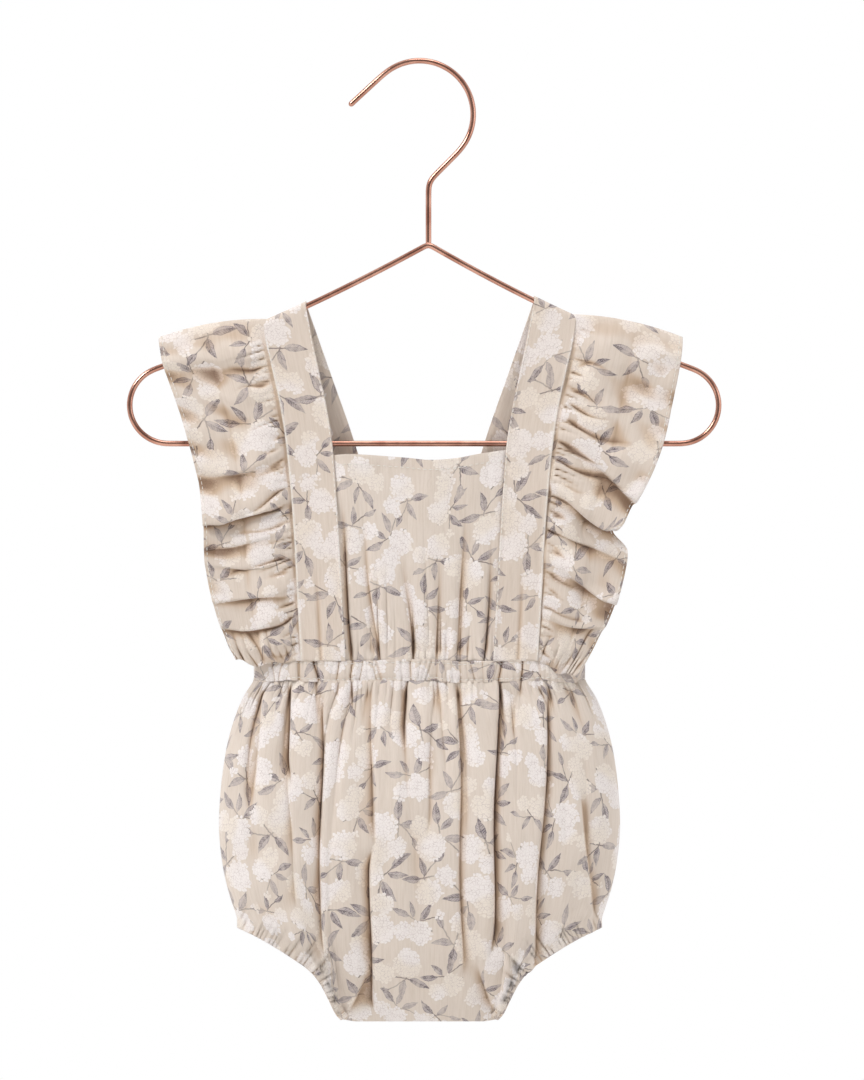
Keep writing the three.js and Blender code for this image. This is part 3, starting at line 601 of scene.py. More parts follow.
def waist_puckers(x, facing):
    """The creases that the waist's elastic pulls into all the cloth beside it, as a depth at each x:
    narrow ones, and fewer deep ones."""
    across = x / WAIST["half_width"] / 2
    at_seam = 0.02 + 0 * x
    narrow = gathers(across, at_seam, WAIST["narrow"], 13 + facing)
    return narrow + gathers(across, at_seam, WAIST["deep"], 17 + facing)


def soft_wrinkles(across, along, size, seed):
    """Soft uneven relief about as high as 1: eight sine waves in random directions, of about the
    given length, added together."""
    draw = np.random.default_rng(seed)
    total = 0
    for _ in range(8):
        angle = draw.uniform(0, np.pi)
        length = size * draw.uniform(0.6, 1.7)
        turn = draw.uniform(0, 2 * np.pi)
        ahead = across * np.cos(angle) + along * np.sin(angle)
        total = total + np.sin(ahead * 2 * np.pi / length + turn)
    return total / 3.2


def bodice_depth(x, down):
    """How far the bodice's cloth lies from the hanger's plane: flat above, round at the waist."""
    rounded = smooth(down, 190, WAIST["top"])
    flat = through(BODICE_DEPTH, "down", "depth")(down)
    return flat * mix(1, fullness(x / WAIST["half_width"]), rounded)


def strap_x(table, across, down):
    """Half width at a height, from the strap's inner edge (across 0) to its outer edge (1)."""
    return mix(through(table, "down", "inner")(down), through(table, "down", "outer")(down), across)


def strap_top(side, table, across):
    """The x at which one layer of a strap meets the arm, found by a few steps along both."""
    x = STRAP["near_top"] + 0 * across
    for _ in range(6):
        x = strap_x(table, across, arm_down(side * x))
    return x


def strap_points(side, across, along):
    """A strap's cloth: along runs from the front waist (0) over the shoulder (0.5) to the back waist
    (1). Near 0.5 it is half an ellipse over the wire, elsewhere it lies on the bodice's depth."""
    across, along = np.broadcast_arrays(across, along)
    front = along < 0.5
    from_top = np.abs(along - 0.5)
    x_front = strap_top(side, STRAP_FRONT, across)
    x_back = strap_top(side, STRAP_BACK, across)
    turned = np.clip((along - 0.5) / STRAP["turn"], -1, 1)
    x_over = mix(x_front, x_back, (turned + 1) / 2)
    z_over = STRAP["rise"] * np.cos(turned * np.pi / 2) - arm_down(side * x_over)
    share = np.clip((from_top - STRAP["turn"]) / (0.5 - STRAP["turn"]), 0, 1)
    top = arm_down(side * np.where(front, x_front, x_back))
    down = mix(top, WAIST["top"] + 0.4, share)
    x = np.where(front, strap_x(STRAP_FRONT, across, down), strap_x(STRAP_BACK, across, down))
    depth = bodice_depth(x, down)
    over = from_top < STRAP["turn"]
    return np.stack([
        side * np.where(over, x_over, x),
        np.where(over, STRAP["over"] * np.sin(turned * np.pi / 2), np.where(front, -depth, depth)),
        np.where(over, z_over, -down),
    ], axis=-1)


def strap_alongs(rows, turn_rows):
    """Rows from the front waist to the back waist, close together over the wire."""
    front = np.linspace(0, 0.5 - STRAP["turn"], rows)
    over = 0.5 + STRAP["turn"] * np.linspace(-1, 1, turn_rows)[1:-1]
    return np.concatenate([front, over, 1 - front[::-1]])


def grid_normals(points, wrap=False):
    """Unit normals of a grid of points, from the differences across and along it."""
    if wrap:
        across = np.roll(points, -1, axis=1) - np.roll(points, 1, axis=1)
    else:
        across = np.gradient(points, axis=1)
    normal = np.cross(np.gradient(points, axis=0), across)
    return normal / np.maximum(np.linalg.norm(normal, axis=2), 1e-9)[:, :, None]


def outward_normals(points, row, column, wrap=False):
    """A grid's unit normals, turned so that the one at a row and column of the front faces forward."""
    normal = grid_normals(points, wrap)
    return normal * -np.sign(normal[row, column, 1])


def running_mean(values, span, axis):
    """The mean of each value and as many as span on each side of it, from a running total."""
    values = np.moveaxis(values, axis, 0)
    before = np.repeat(values[:1], span + 1, axis=0)
    after = np.repeat(values[-1:], span, axis=0)
    total = np.cumsum(np.concatenate([before, values, after]), axis=0)
    return np.moveaxis((total[2 * span + 1:] - total[:-2 * span - 1]) / (2 * span + 1), 0, axis)


def hollows(forward, columns, rows, deep):
    """Where the cloth lies behind the cloth round it, from 0 to 1: the mean height over so many
    columns and rows, taken twice, less the point's own height, as a share of a deep one."""
    mean = forward
    for _ in range(2):
        mean = running_mean(running_mean(mean, columns, 1), rows, 0)
    return np.clip((mean - forward) / deep, 0, 1)


def flat_places(points, corner, wrap=False, strip=False):
    """The cloth's flat coordinates in mm: across is the mean length between columns, added up from
    the first column, and along is each column's length from its first row, as the mean with 8
    columns on each side. A strip that is gathered along one edge has the same lengths all across,
    from its outer columns."""
    steps_across = np.linalg.norm(np.diff(points, axis=1), axis=2).mean(axis=0)
    if wrap:
        closing = np.linalg.norm(points[:, 0] - points[:, -1], axis=1).mean()
        steps_across = np.append(steps_across, closing)
    across = np.concatenate([[0], np.cumsum(steps_across)])
    along = np.cumsum(np.linalg.norm(np.diff(points, axis=0), axis=2), axis=0)
    along = running_mean(np.vstack([np.zeros((1, points.shape[1])), along]), 8, 1)
    if strip:
        along = 0 * along + along[:, points.shape[1] // 2:].mean(axis=1)[:, None]
    if wrap:
        along = np.hstack([along, along[:, :1]])
    return np.stack([across[None, :] + 0 * along + corner[0], along + corner[1]], axis=2)


def dress(piece, uv_corners, painted_shade, thick, offset):
    """Gives a cloth mesh its flat coordinates as a UV map, its painted shade for creases and hollows
    (below 0, painted highlight) as an attribute and its thickness by Solidify."""
    layer = piece.data.uv_layers.new(name="cloth")
    layer.data.foreach_set("uv", np.stack(uv_corners, axis=2).astype(np.float32).ravel())
    painted_shade_layer = piece.data.attributes.new("painted_shade", "FLOAT", "POINT")
    painted_shade_layer.data.foreach_set("value", np.clip(painted_shade, -1, 1).astype(np.float32).ravel())
    wall = piece.modifiers.new("thickness", "SOLIDIFY")
    wall.thickness = thick * MM
    wall.offset = offset


def cloth_piece(name, points, painted_shade, corner, thick=CLOTH_THICK, wrap=False, strip=False):
    """A piece of the printed cloth from a grid of points in the middle of its thickness."""
    rows, columns = points.shape[:2]
    row = np.arange(rows - 1)[:, None]
    column = np.arange(columns if wrap else columns - 1)[None, :]
    beside = (column + 1) % columns
    corners = [row * columns + column, (row + 1) * columns + column,
               (row + 1) * columns + beside, row * columns + beside]
    quads = np.stack([np.broadcast_to(c, (rows - 1, column.size)) for c in corners], axis=2)
    piece = new_piece(name, points, quads.reshape(-1, 4).tolist(), COTTON)
    flat = flat_places(points, corner, wrap, strip)
    dress(piece, [flat[:-1, :-1], flat[1:, :-1], flat[1:, 1:], flat[:-1, 1:]], painted_shade, thick, 0)
    return piece


def stitch_rows(name, lines):
    """Rows of stitches on the cloth, as one piece. Each line is points on the cloth and its outward
    normals; a stitch is a spindle of three rings and two tips, lying along the line."""
    vertices, faces = [], []
    for points, normals in lines:
        length = np.concatenate([[0], np.cumsum(np.linalg.norm(np.diff(points, axis=0), axis=1))])
        middles = np.arange(STITCH["pitch"] / 2, length[-1] - STITCH["pitch"] / 2, STITCH["pitch"])
        reach = np.array([-0.5, -0.36, 0, 0.36, 0.5]) * STITCH["length"]
        places = middles[:, None] + reach[None, :]
        at = np.stack([np.interp(places, length, points[:, i]) for i in range(3)], axis=2)
        up = np.stack([np.interp(middles, length, normals[:, i]) for i in range(3)], axis=1)
        up /= np.linalg.norm(up, axis=1)[:, None]
        ahead = at[:, -1] - at[:, 0]
        ahead /= np.maximum(np.linalg.norm(ahead, axis=1), 1e-9)[:, None]
        aside = np.cross(up, ahead)
        swell = np.array([0, 0.75, 1, 0.75, 0]) * STITCH["radius"]
        lift = np.array([-0.1, 0.7, 1, 0.7, -0.1]) * STITCH["lift"] + CLOTH_THICK / 2
        turn = np.linspace(0, 2 * np.pi, STITCH["sides"], endpoint=False)
        middle = at + up[:, None, :] * lift[None, :, None]
        spin = (aside[:, None, :] * np.cos(turn)[None, :, None]
                + up[:, None, :] * np.sin(turn)[None, :, None])
        rings = middle[:, 1:4, None, :] + spin[:, None, :, :] * swell[None, 1:4, None, None]
        for k in range(len(middles)):
            first = len(vertices)
            sides = STITCH["sides"]
            vertices.extend(rings[k].reshape(-1, 3).tolist())
            vertices.extend([middle[k, 0].tolist(), middle[k, 4].tolist()])
            for ring in (0, sides):
                for s in range(sides):
                    t = (s + 1) % sides
                    faces.append((first + ring + s, first + ring + t,
                                  first + ring + sides + t, first + ring + sides + s))
            for s in range(sides):
                t = (s + 1) % sides
                faces.append((first + t, first + s, first + 3 * sides))
                faces.append((first + 2 * sides + s, first + 2 * sides + t, first + 3 * sides + 1))
    piece = new_piece(name, vertices, faces, COTTON_THREAD)
    outward_faces(piece)
    return piece


strap_across = np.linspace(0, 1, STRAP["columns"])[None, :]
strap_along = strap_alongs(STRAP["rows"], STRAP["turn_rows"])[:, None]
for word, side in (("left", -1), ("right", 1)):
    strap = strap_points(side, strap_across, strap_along)
    off_wire = smooth(np.abs(strap_along - 0.5), 0.03, 0.1)
    relief = soft_wrinkles(strap[:, :, 0], strap[:, :, 2], 34, seed=11 + side) * 0.35
    folded_edge = 0.4 * (1 - smooth(strap_across, 0.02, 0.1)) + 0.25 * smooth(strap_across, 0.88, 0.94)
    groove = np.exp(-((strap_across - STRAP["groove"]) / 0.05) ** 2)
    groove = groove * smooth(np.abs(strap_along - 0.5), 0.36, 0.44)
    # A pale painted highlight along the strap's outer folded edge, away from the wire.
    painted_edge_highlight = smooth(strap_across, 0.94, 0.965) * off_wire
    rise = (relief + folded_edge) * off_wire - groove
    facing = np.where(strap_along < 0.5, -1, 1)
    strap[:, :, 1] += facing * rise
    # Painted shade: a little over the whole strap and more in its groove; the outer edge gets painted
    # highlight instead.
    strap_painted_shade = STRAP["shade"] + 0.3 * groove - painted_edge_highlight + 0 * strap[:, :, 0]
    piece = cloth_piece(f"{word}_strap", strap, strap_painted_shade, (40 + 60 * side, 17 * side),
                        thick=STRAP["thick"])
    outward = outward_normals(strap, 0, 0)
    lines = []
    for rows in (slice(2, STRAP["rows"] - 4), slice(-STRAP["rows"] + 4, -2)):
        for column in STRAP["stitch_columns"]:
            lines.append((strap[rows, column], outward[rows, column]))
    stitches = stitch_rows(f"{word}_strap_stitches", lines)
    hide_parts(f"strap_{word}")

# The ruffles: a long frill on each strap's outer edge, gathered along its seam and free on its
# narrow hem, widest on the shoulder, where a soft ridge carries it out over the hanger's arm.
RUFFLE_EDGE = {
    "left": {
        "share": [0, 0.04, 0.13, 0.24, 0.36, 0.47, 0.58, 0.7, 0.82, 0.92, 1],
        "out": [130.5, 130, 127.8, 121, 115, 110.5, 107.9, 107.2, 103.3, 98.2, 91.5],
        "down": [136.7, 141, 151.7, 170.7, 190.7, 208.2, 227.2, 248.2, 268.2, 283.7, 297.2],
        "depth": [0, 3.4, 5.5, 6.5, 7, 8, 9, 10, 10, 10, 9],
    },
    "right": {
        "share": [0, 0.04, 0.13, 0.24, 0.36, 0.47, 0.57, 0.62, 0.68, 0.82, 0.92, 1],
        "out": [131.5, 131.4, 130, 126.2, 121.5, 113.2, 102.6, 96.5, 103.8, 98, 89.5, 78.5],
        "down": [136.6, 141, 151.7, 170.7, 190.7, 209.2, 226.6, 233.5, 243.5, 269, 286.5, 304.5],
        "depth": [0, 3.4, 5.5, 6.5, 7, 8, 9, 9, 9, 10, 10, 9],
    },
    "back": {
        "share": [0, 0.04, 0.15, 0.36, 0.6, 0.85, 1],
        "out": [130.5, 129, 123, 107, 88, 66, 52],
        "down": [136.7, 141, 155, 192, 236, 279, 297],
        "depth": [0, 3.4, 6, 8, 11, 13, 13],
    },
}
# Pleat crests: where each one starts on the seam and ends on the free edge, as shares of the way
# from the shoulder to the waist, and its height in mm.
RUFFLE_PLEATS = {
    "left": {
        "seam": [0.13, 0.27, 0.40, 0.53, 0.63, 0.70, 0.79, 0.88, 0.955],
        "edge": [0.115, 0.30, 0.45, 0.578, 0.66, 0.71, 0.81, 0.90, 0.975],
        "height": [4.5, 2, 4.5, 9, 2.5, 4.5, 6, 4.5, 4],
        "open": [0.6, 0.1, 0.2, 1.0, 0.2, 0.5, 0.35, 0.4, 0.8],
    },
    "right": {
        "seam": [0.13, 0.335, 0.50, 0.60, 0.70, 0.86, 0.95],
        "edge": [0.115, 0.51, 0.60, 0.70, 0.81, 0.89, 0.975],
        "height": [4.5, 6, 9, 4, 6.5, 5, 4],
        "open": [0.6, 0.8, 0.9, 0.3, 0.8, 0.5, 0.8],
    },
    "back": {
        "seam": [0.08, 0.22, 0.36, 0.5, 0.64, 0.77, 0.9],
        "edge": [0.08, 0.2, 0.34, 0.5, 0.66, 0.8, 0.92],
        "height": [2, 4, 5.5, 5.5, 5.5, 5, 4],
        "open": [0.6, 0.6, 0.5, 0.7, 0.5, 0.6, 0.6],
    },
}
RUFFLE = {"tuck": 0.05, "under": 0.6, "ridge_bow": 2.6, "ridge_reach": 0.12, "drop": 0.26,
          "overhang": 0.9, "columns": 64, "rows": 230, "turn_rows": 14, "slant": 0.07,
          "puff": 2.8, "wave": 0.8, "relief": 0.8,
          "small": {"count": 43, "depth": 3.2, "reach": (0.14, 0.55), "cusp": 0.5},
          "middle": {"count": 17, "depth": 5.0, "reach": (0.3, 1.3), "cusp": 0.6},
          "low": {"count": 8, "depth": 4.0, "reach": (0.4, 1.2), "cusp": 0.8}}


def pleats(table, share, across):
    """Height of the pleats: a quick drop under each crest, then a slow rise to the next one. Each
    crest line wanders a little, and towards the free edge it keeps the share that it is open."""
    crests = [mix(seam, edge, across) + 0.007 * np.sin(across * 6 + i * 2.3)
              for i, (seam, edge) in enumerate(zip(table["seam"], table["edge"]))]
    outer = smooth(across, 0.45, 1)
    heights = [height * mix(1, kept, outer) for height, kept in zip(table["height"], table["open"])]
    height = heights[0] * smooth(share / crests[0], 0, 1)
    for i in range(len(crests) - 1):
        f = (share - crests[i]) / (crests[i + 1] - crests[i])
        falling = heights[i] * (1 - smooth(f, 0, RUFFLE["drop"]))
        between = falling + heights[i + 1] * smooth(f, RUFFLE["drop"], 1)
        height = np.where(share > crests[i], between, height)
    return np.where(share > crests[-1], heights[-1], height)


def ruffle_points(side, across, along):
    """A ruffle's cloth, from its seam (across 0) to its free edge (1): even between the strap's edge
    and the outline, then moved forward by the pleats, whose crests also sink and overhang, with
    small gathers from the seam that join into wider ones. Also gives its painted shade: a little
    all over, and more in its hollows and creases."""
    across, along = np.broadcast_arrays(across, along)
    seam = strap_points(side, 1 - RUFFLE["tuck"], along)
    share = np.abs(along - 0.5) / 0.5
    front = along < 0.5
    facing = np.where(front, -1, 1)
    name = "left" if side < 0 else "right"
    edge = [np.where(front, through(RUFFLE_EDGE[name], "share", column)(share),
                     through(RUFFLE_EDGE["back"], "share", column)(share))
            for column in ("out", "down", "depth")]
    edge = np.stack([side * edge[0], facing * edge[2], -edge[1]], axis=-1)
    points = mix(seam, edge, across[:, :, None])
    height = np.where(front, pleats(RUFFLE_PLEATS[name], share, across),
                      pleats(RUFFLE_PLEATS["back"], share, across))
    grown = across ** 0.7 * smooth(share, 0, 0.1)
    away = smooth(share, 0.02, 0.12)
    slanted = share - RUFFLE["slant"] * across
    spread = across / mix(0.42, 1, smooth(share, 0.28, 0.45))
    small = gathers(slanted, across, RUFFLE["small"], 3 + side) * smooth(across, 0.05, 0.09)
    middle = gathers(slanted, spread, RUFFLE["middle"], 7 + side) * smooth(across, 0.05, 0.2)
    puff = RUFFLE["puff"] * np.sin(np.pi * np.clip((across - 0.05) / 0.5, 0, 1)) ** 0.8
    waves = RUFFLE["wave"] * np.sin(share * 61 + side + 2 * across) * across ** 2
    relief = RUFFLE["relief"] * soft_wrinkles(points[:, :, 0], points[:, :, 2], 17, seed=21 + side)
    relief = relief * smooth(across, 0, 0.2)
    tucked = RUFFLE["under"] * (1 - smooth(across, 0.04, 0.09))
    low = gathers(across + share, (1 - share) / 0.13, RUFFLE["low"], 31 + side)
    low = low * smooth(across, 0.05, 0.2)
    forward = (height - 1.5) * grown + (puff + waves + relief - small - middle - low - tucked) * away
    forward = forward * (1 - smooth(share, 0.95, 1) * (1 - smooth(across, 0.5, 0.8)))
    points[:, :, 1] += facing * forward
    hangs_over = smooth(across, 0.08, 0.4) * (1 - 0.55 * smooth(across, 0.75, 1))
    hangs_over = hangs_over * smooth(share, 0.3, 0.45)
    points[:, :, 2] -= RUFFLE["overhang"] * height * grown * hangs_over
    points[:, :, 2] -= 0.35 * middle * away * smooth(share, 0.1, 0.3)
    uneven = np.sin(across * 13 + side) * smooth(across, 0.1, 0.4)
    points[:, :, 2] -= 1.1 * uneven * smooth(share, 0.9, 1)
    ridge = 1 - smooth(share, 0, RUFFLE["ridge_reach"])
    points[:, :, 2] += RUFFLE["ridge_bow"] * 4 * across * (1 - across) * ridge
    lies = forward * away
    # Painted shade: 0.1 over the whole ruffle, and more in its hollows.
    return points, 0.1 + 0.42 * hollows(lies, 9, 12, 2.6) + 0.55 * hollows(lies, 3, 4, 1.1)


ruffle_across = np.linspace(0, 1, RUFFLE["columns"])[None, :]
ruffle_along = strap_alongs(RUFFLE["rows"], RUFFLE["turn_rows"])[:, None]
for word, side in (("left", -1), ("right", 1)):
    ruffle, painted_shade = ruffle_points(side, ruffle_across, ruffle_along)
    piece = cloth_piece(f"{word}_ruffle", ruffle, painted_shade, (150 + 90 * side, 23 * side), strip=True)
    outward = outward_normals(ruffle, 20, 30)
    stitches = stitch_rows(f"{word}_ruffle_stitches", [(ruffle[2:-2, -3], outward[2:-2, -3])])
    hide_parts(f"ruffle_{word}")

# The bib: one panel of the cotton between the straps, hemmed along its top edge and gathered into
# the waist, with a deep crease down beside the left strap.
BIB_TOP = {
    "x": [-44, -34, -8, 5, 18, 30, 44],
    "down": [196, 195.3, 197, 198.2, 197.3, 195, 192.9],
}
BIB = {"rows": 104, "columns": 190, "crown": 1.5, "hem": 5,
       "small": {"count": 30, "depth": 1.9, "reach": (0.08, 0.4), "cusp": 0.8},
       "middle": {"count": 13, "depth": 3.0, "reach": (0.2, 0.85), "cusp": 0.8}}
# Long folds: x at the top and at the bottom, the heights between which they run, the depth in mm,
# and the side that they lean to.
BIB_FOLDS = [
    (-41, -29.5, 205, 316, 6, -1),
    (-29, -17, 215, 316, 3.6, -1),
    (-10, -3, 238, 316, 4.6, 1),
    (10, 7, 232, 316, 3.8, 1),
    (24, 16, 210, 316, 4, 1),
    (38, 29, 222, 316, 4.6, 1),
]
FOLD = {"steep": 1.2, "gentle": 5, "fade": 20, "overlap": 2.6, "overlap_width": 3.0}


def folds(table, x, down, spread, fade_in):
    """The long folds, as a depth and a move sideways. Each is a groove along a slanted line, with a
    steep wall on the side that it leans from and a gentle slope on the other, faded at both ends
    and widened by the spread at its top and at its bottom. The cloth above the steep wall is moved
    over the groove."""
    depth = 0
    aside = 0
    for i, (top, bottom, start, end, deep, lean) in enumerate(table):
        f = np.clip((down - start) / (end - start), 0, 1)
        line = mix(top, bottom, f) + 0.8 * np.sin(down * 0.06 + i * 2)
        offset = (x - line) * lean
        width = np.where(offset < 0, FOLD["steep"], FOLD["gentle"]) * mix(spread[0], spread[1], f)
        fade = smooth(down, start, start + fade_in) * (1 - smooth(down, end - FOLD["fade"], end))
        depth = depth + deep * np.exp(-np.abs(offset / width) ** 1.5) * fade
        over = np.exp(-((offset + 2) / FOLD["overlap_width"]) ** 2)
        aside = aside + FOLD["overlap"] * deep / 6 * over * fade * lean
    return depth, aside


bib_across = np.linspace(-1, 1, BIB["columns"])[None, :]
bib_fall = np.linspace(0, 1, BIB["rows"])[:, None]
bib_top = through(BIB_TOP, "x", "down")(bib_across * through(STRAP_FRONT, "down", "inner")(198.0))
bib_down = mix(bib_top, WAIST["top"] + 0.5, bib_fall)
bib_x = bib_across * (through(STRAP_FRONT, "down", "inner")(bib_down) + 0.6)
bib_edge = 1 - np.abs(bib_across) ** 8
fold_depth, fold_aside = folds(BIB_FOLDS, bib_x, bib_down, spread=(2.4, 0.8), fade_in=55)
puckers = waist_puckers(bib_x, -1) * smooth(bib_fall, 0.84, 1)
small = gathers(bib_across / 2, 1 - bib_fall, BIB["small"], 5)
middle = gathers(bib_across / 2, 1 - bib_fall, BIB["middle"], 9)
relief = 0.45 * soft_wrinkles(bib_x, bib_down * 0.5, 22, seed=31)
crown = BIB["crown"] * (1 - bib_fall)
at_seam = mix(1, 0.4, smooth(bib_fall, 0.93, 1))
bib_relief = relief - (small + middle + fold_depth) * at_seam - puckers
depth = bodice_depth(bib_x, bib_down) + (crown + bib_relief) * bib_edge
depth -= 0.9 * (1 - bib_edge)
bib = np.stack([bib_x + fold_aside * bib_edge, -depth, -bib_down], axis=-1)
# Painted shade in the bib's hollows, long folds and waist puckers.
bib_painted_shade = hollows(bib_relief * bib_edge, 12, 5, 3) + 0.6 * smooth(fold_depth + puckers, 2.5, 8)
piece = cloth_piece("bib", bib, bib_painted_shade, (7, 133))
bib_out = outward_normals(bib, 20, 30)
stitches = stitch_rows("bib_stitches", [(bib[BIB["hem"], 3:-3], bib_out[BIB["hem"], 3:-3])])
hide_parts("front_bib")

# The waist casing: a flat tunnel of the cotton round an elastic, stitched along both edges and
# puckered all round by the elastic's pull.
CASING = {"rows": 22, "columns": 900, "bulge": 0.5, "stitch_rows": (3, -4), "slant": 2.2,
          "stitched": 0.35, "overlap": 0.3, "pinched": 0.3}

waist_turn = np.linspace(0, 2 * np.pi, CASING["columns"], endpoint=False)[None, :]
waist_fall = np.linspace(0, 1, CASING["rows"])[:, None]
is_front = np.sin(waist_turn) < 0
waist_across = np.cos(waist_turn)
half_turn = np.where(is_front, waist_turn - np.pi, waist_turn) / np.pi
near_side = smooth(1 - np.abs(waist_across), 0, 0.03)
bulge = CASING["bulge"] * (np.sin(np.pi * waist_fall) ** 0.6 - 0.6)
stitched = np.exp(-((waist_fall - 0.16) / 0.07) ** 2) + np.exp(-((waist_fall - 0.84) / 0.07) ** 2)
slant = np.sin(half_turn * 40) + 0.7 * np.sin(half_turn * 97 + 2)
waist_x = WAIST["half_width"] * waist_across + CASING["slant"] * (waist_fall - 0.5) * slant
waist_pinch = np.where(is_front, waist_puckers(waist_x, -1), waist_puckers(waist_x, 1))
depth = WAIST["half_depth"] + bulge - CASING["stitched"] * stitched - waist_pinch * near_side
depth = depth * fullness(waist_across)
sway = 0.5 * np.sin(half_turn * 23) + 0.35 * np.sin(half_turn * 61 + 1) * np.cos(half_turn * 17)
sway = sway - CASING["pinched"] * waist_pinch * near_side * (2 * waist_fall - 1)
casing_height = WAIST["height"] + 2 * CASING["overlap"]
waist_down = WAIST["top"] - CASING["overlap"] + casing_height * waist_fall + sway
waist = np.stack([
    (WAIST["half_width"] + 0.4 * bulge) * waist_across + 0 * waist_fall,
    np.where(is_front, -depth, depth) + 0 * waist_fall,
    -waist_down], axis=-1)
# Painted shade in the casing's puckers.
waist_painted_shade = hollows(-waist_pinch * near_side, 8, 2, 2.0) + 0.5 * smooth(waist_pinch, 1.2, 3)
piece = cloth_piece("waist", waist, waist_painted_shade, (11, 61), wrap=True)
waist_out = outward_normals(waist, 10, 3 * CASING["columns"] // 4, wrap=True)
lines = [(waist[row], waist_out[row]) for row in CASING["stitch_rows"]]
stitches = stitch_rows("waist_stitches", lines)
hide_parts("waist_casing")

# The leg casings: a narrow elastic hem round each leg opening, puckered all round. An opening's edge
# runs from the side seam to the crotch, and it is the same in front and behind.
LEG_EDGE = {
    "row": [0, 1, 2, 3, 4, 5, 6, 7, 8],
    "out": [89.8, 80, 72, 64, 55.5, 50, 46, 42.5, 39.6],
    "down": [432.5, 437, 441.5, 446.5, 452.5, 459, 466.5, 474, 478.2],
}
LEG = {"edge_shows": 0.7, "cover": 2.2, "casing": 5, "thick": 1.3, "half_depth": 14, "steps": 400,
       "sides": 14, "small": {"count": 90, "depth": 1.0, "reach": (1, 1.4), "cusp": 0.8},
       "middle": {"count": 34, "depth": 0.8, "reach": (1, 1.4), "cusp": 0.8}}


def leg_edge(side, share, inset):
    """A point beside the leg's edge curve, moved into the cloth by the inset along its normal."""
    at = np.clip(share, 0.0, 1.0) * 8
    ends = [through(LEG_EDGE, "row", column) for column in ("out", "down")]
    x, down = ends[0](at), ends[1](at)
    before, after = np.clip(at - 0.02, 0, 8), np.clip(at + 0.02, 0, 8)
    ahead_x = ends[0](after) - ends[0](before)
    ahead_z = ends[1](before) - ends[1](after)
    length = np.hypot(ahead_x, ahead_z)
    return np.stack([side * (x + ahead_z / length * inset), 0 * x,
                     -down - ahead_x / length * inset], axis=-1)


def leg_casing(side):
    """A closed tube round a leg opening: a flattened round section, carried round the loop, whose
    width and thickness are pinched by small uneven gathers. Also gives the painted shade in its
    puckers."""
    turn = np.linspace(0, 1, LEG["steps"], endpoint=False)
    angle = turn * 2 * np.pi

    def middle(at):
        point = leg_edge(side, (1 - np.cos(at)) / 2, LEG["casing"] / 2)
        point[:, 1] = -LEG["half_depth"] * np.sin(at)
        return point

    centre = middle(angle)
    forward = middle(angle + 0.01) - middle(angle - 0.01)
    forward /= np.linalg.norm(forward, axis=1)[:, None]
    share = (1 - np.cos(angle)) / 2
    inward = leg_edge(side, share, 1) - leg_edge(side, share, 0)
    inward -= forward * (inward * forward).sum(axis=1)[:, None]
    inward /= np.linalg.norm(inward, axis=1)[:, None]
    thick = np.cross(forward, inward)
    loose = smooth(share, 0.02, 0.45) * 0.6 + 0.4
    pinch = gathers(turn, 0.02 + 0 * turn, LEG["small"], 23) * loose
    wide = gathers(turn, 0.02 + 0 * turn, LEG["middle"], 29) * loose
    round_turn = np.linspace(0, 2 * np.pi, LEG["sides"], endpoint=False)[None, :]
    half_wide = (LEG["casing"] / 2 - 0.15 - 0.12 * pinch)[:, None]
    half_thick = (LEG["thick"] / 2 - 0.4 * pinch - 0.25 * wide)[:, None]
    w = np.sign(np.cos(round_turn)) * np.abs(np.cos(round_turn)) ** 0.8 * half_wide
    t = np.sign(np.sin(round_turn)) * np.abs(np.sin(round_turn)) ** 0.8 * half_thick
    tube = centre[:, None, :] + inward[:, None, :] * w[:, :, None] + thick[:, None, :] * t[:, :, None]
    # Painted shade, deeper where the gathers pinch.
    return tube, np.broadcast_to((0.75 * pinch + 0.3 * wide)[:, None], w.shape)


for word, side in (("left", -1), ("right", 1)):
    tube, painted_shade = leg_casing(side)
    rings, sides = tube.shape[:2]
    piece = new_piece(f"{word}_leg_hem", tube, ring_faces(rings, sides, True), COTTON)
    flat = flat_places(np.swapaxes(tube, 0, 1), (200 + 31 * side, 90), wrap=True)
    flat = np.swapaxes(np.vstack([flat, flat[-1:] + (0, 1)]), 0, 1)
    uv_corners = [flat[:-1, :-1], flat[:-1, 1:], flat[1:, 1:], flat[1:, :-1]]
    dress(piece, uv_corners, painted_shade, CLOTH_THICK, offset=-1)
    outward_faces(piece)
    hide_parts(f"leg_casing_{word}")

# The bloomer: a front and a back panel, gathered into the waist and, over the leg casings, into the
# legs, and sewn together at the sides and under the crotch. It hangs round and full, in long soft
# vertical folds.
BLOOMER_SIDE = {
    "down": [309, 318, 333, 348, 366, 383, 400, 413, 427],
    "out": [83, 88.5, 94, 97.3, 99.4, 100, 98.3, 95.5, 91],
}
BLOOMER_DEPTH = {
    "fall": [0, 0.12, 0.35, 0.6, 0.8, 0.93, 1],
    "depth": [13, 20, 27, 26, 19, 9.5, 0],
}
CROTCH = {"down": 478.7, "share": 0.45}
BLOOMER = {"rows": 100, "columns": 470, "edge_power": 3,
           "small": {"count": 50, "depth": 2.0, "reach": (0.05, 0.22), "cusp": 0.8},
           "middle": {"count": 23, "depth": 3.4, "reach": (0.15, 0.85), "cusp": 0.8},
           "large": {"count": 13, "depth": 2.0, "reach": (0.8, 1.2), "cusp": 1.3},
           "legs": {"count": 27, "depth": 2.0, "reach": (0.09, 0.28), "cusp": 0.6}}
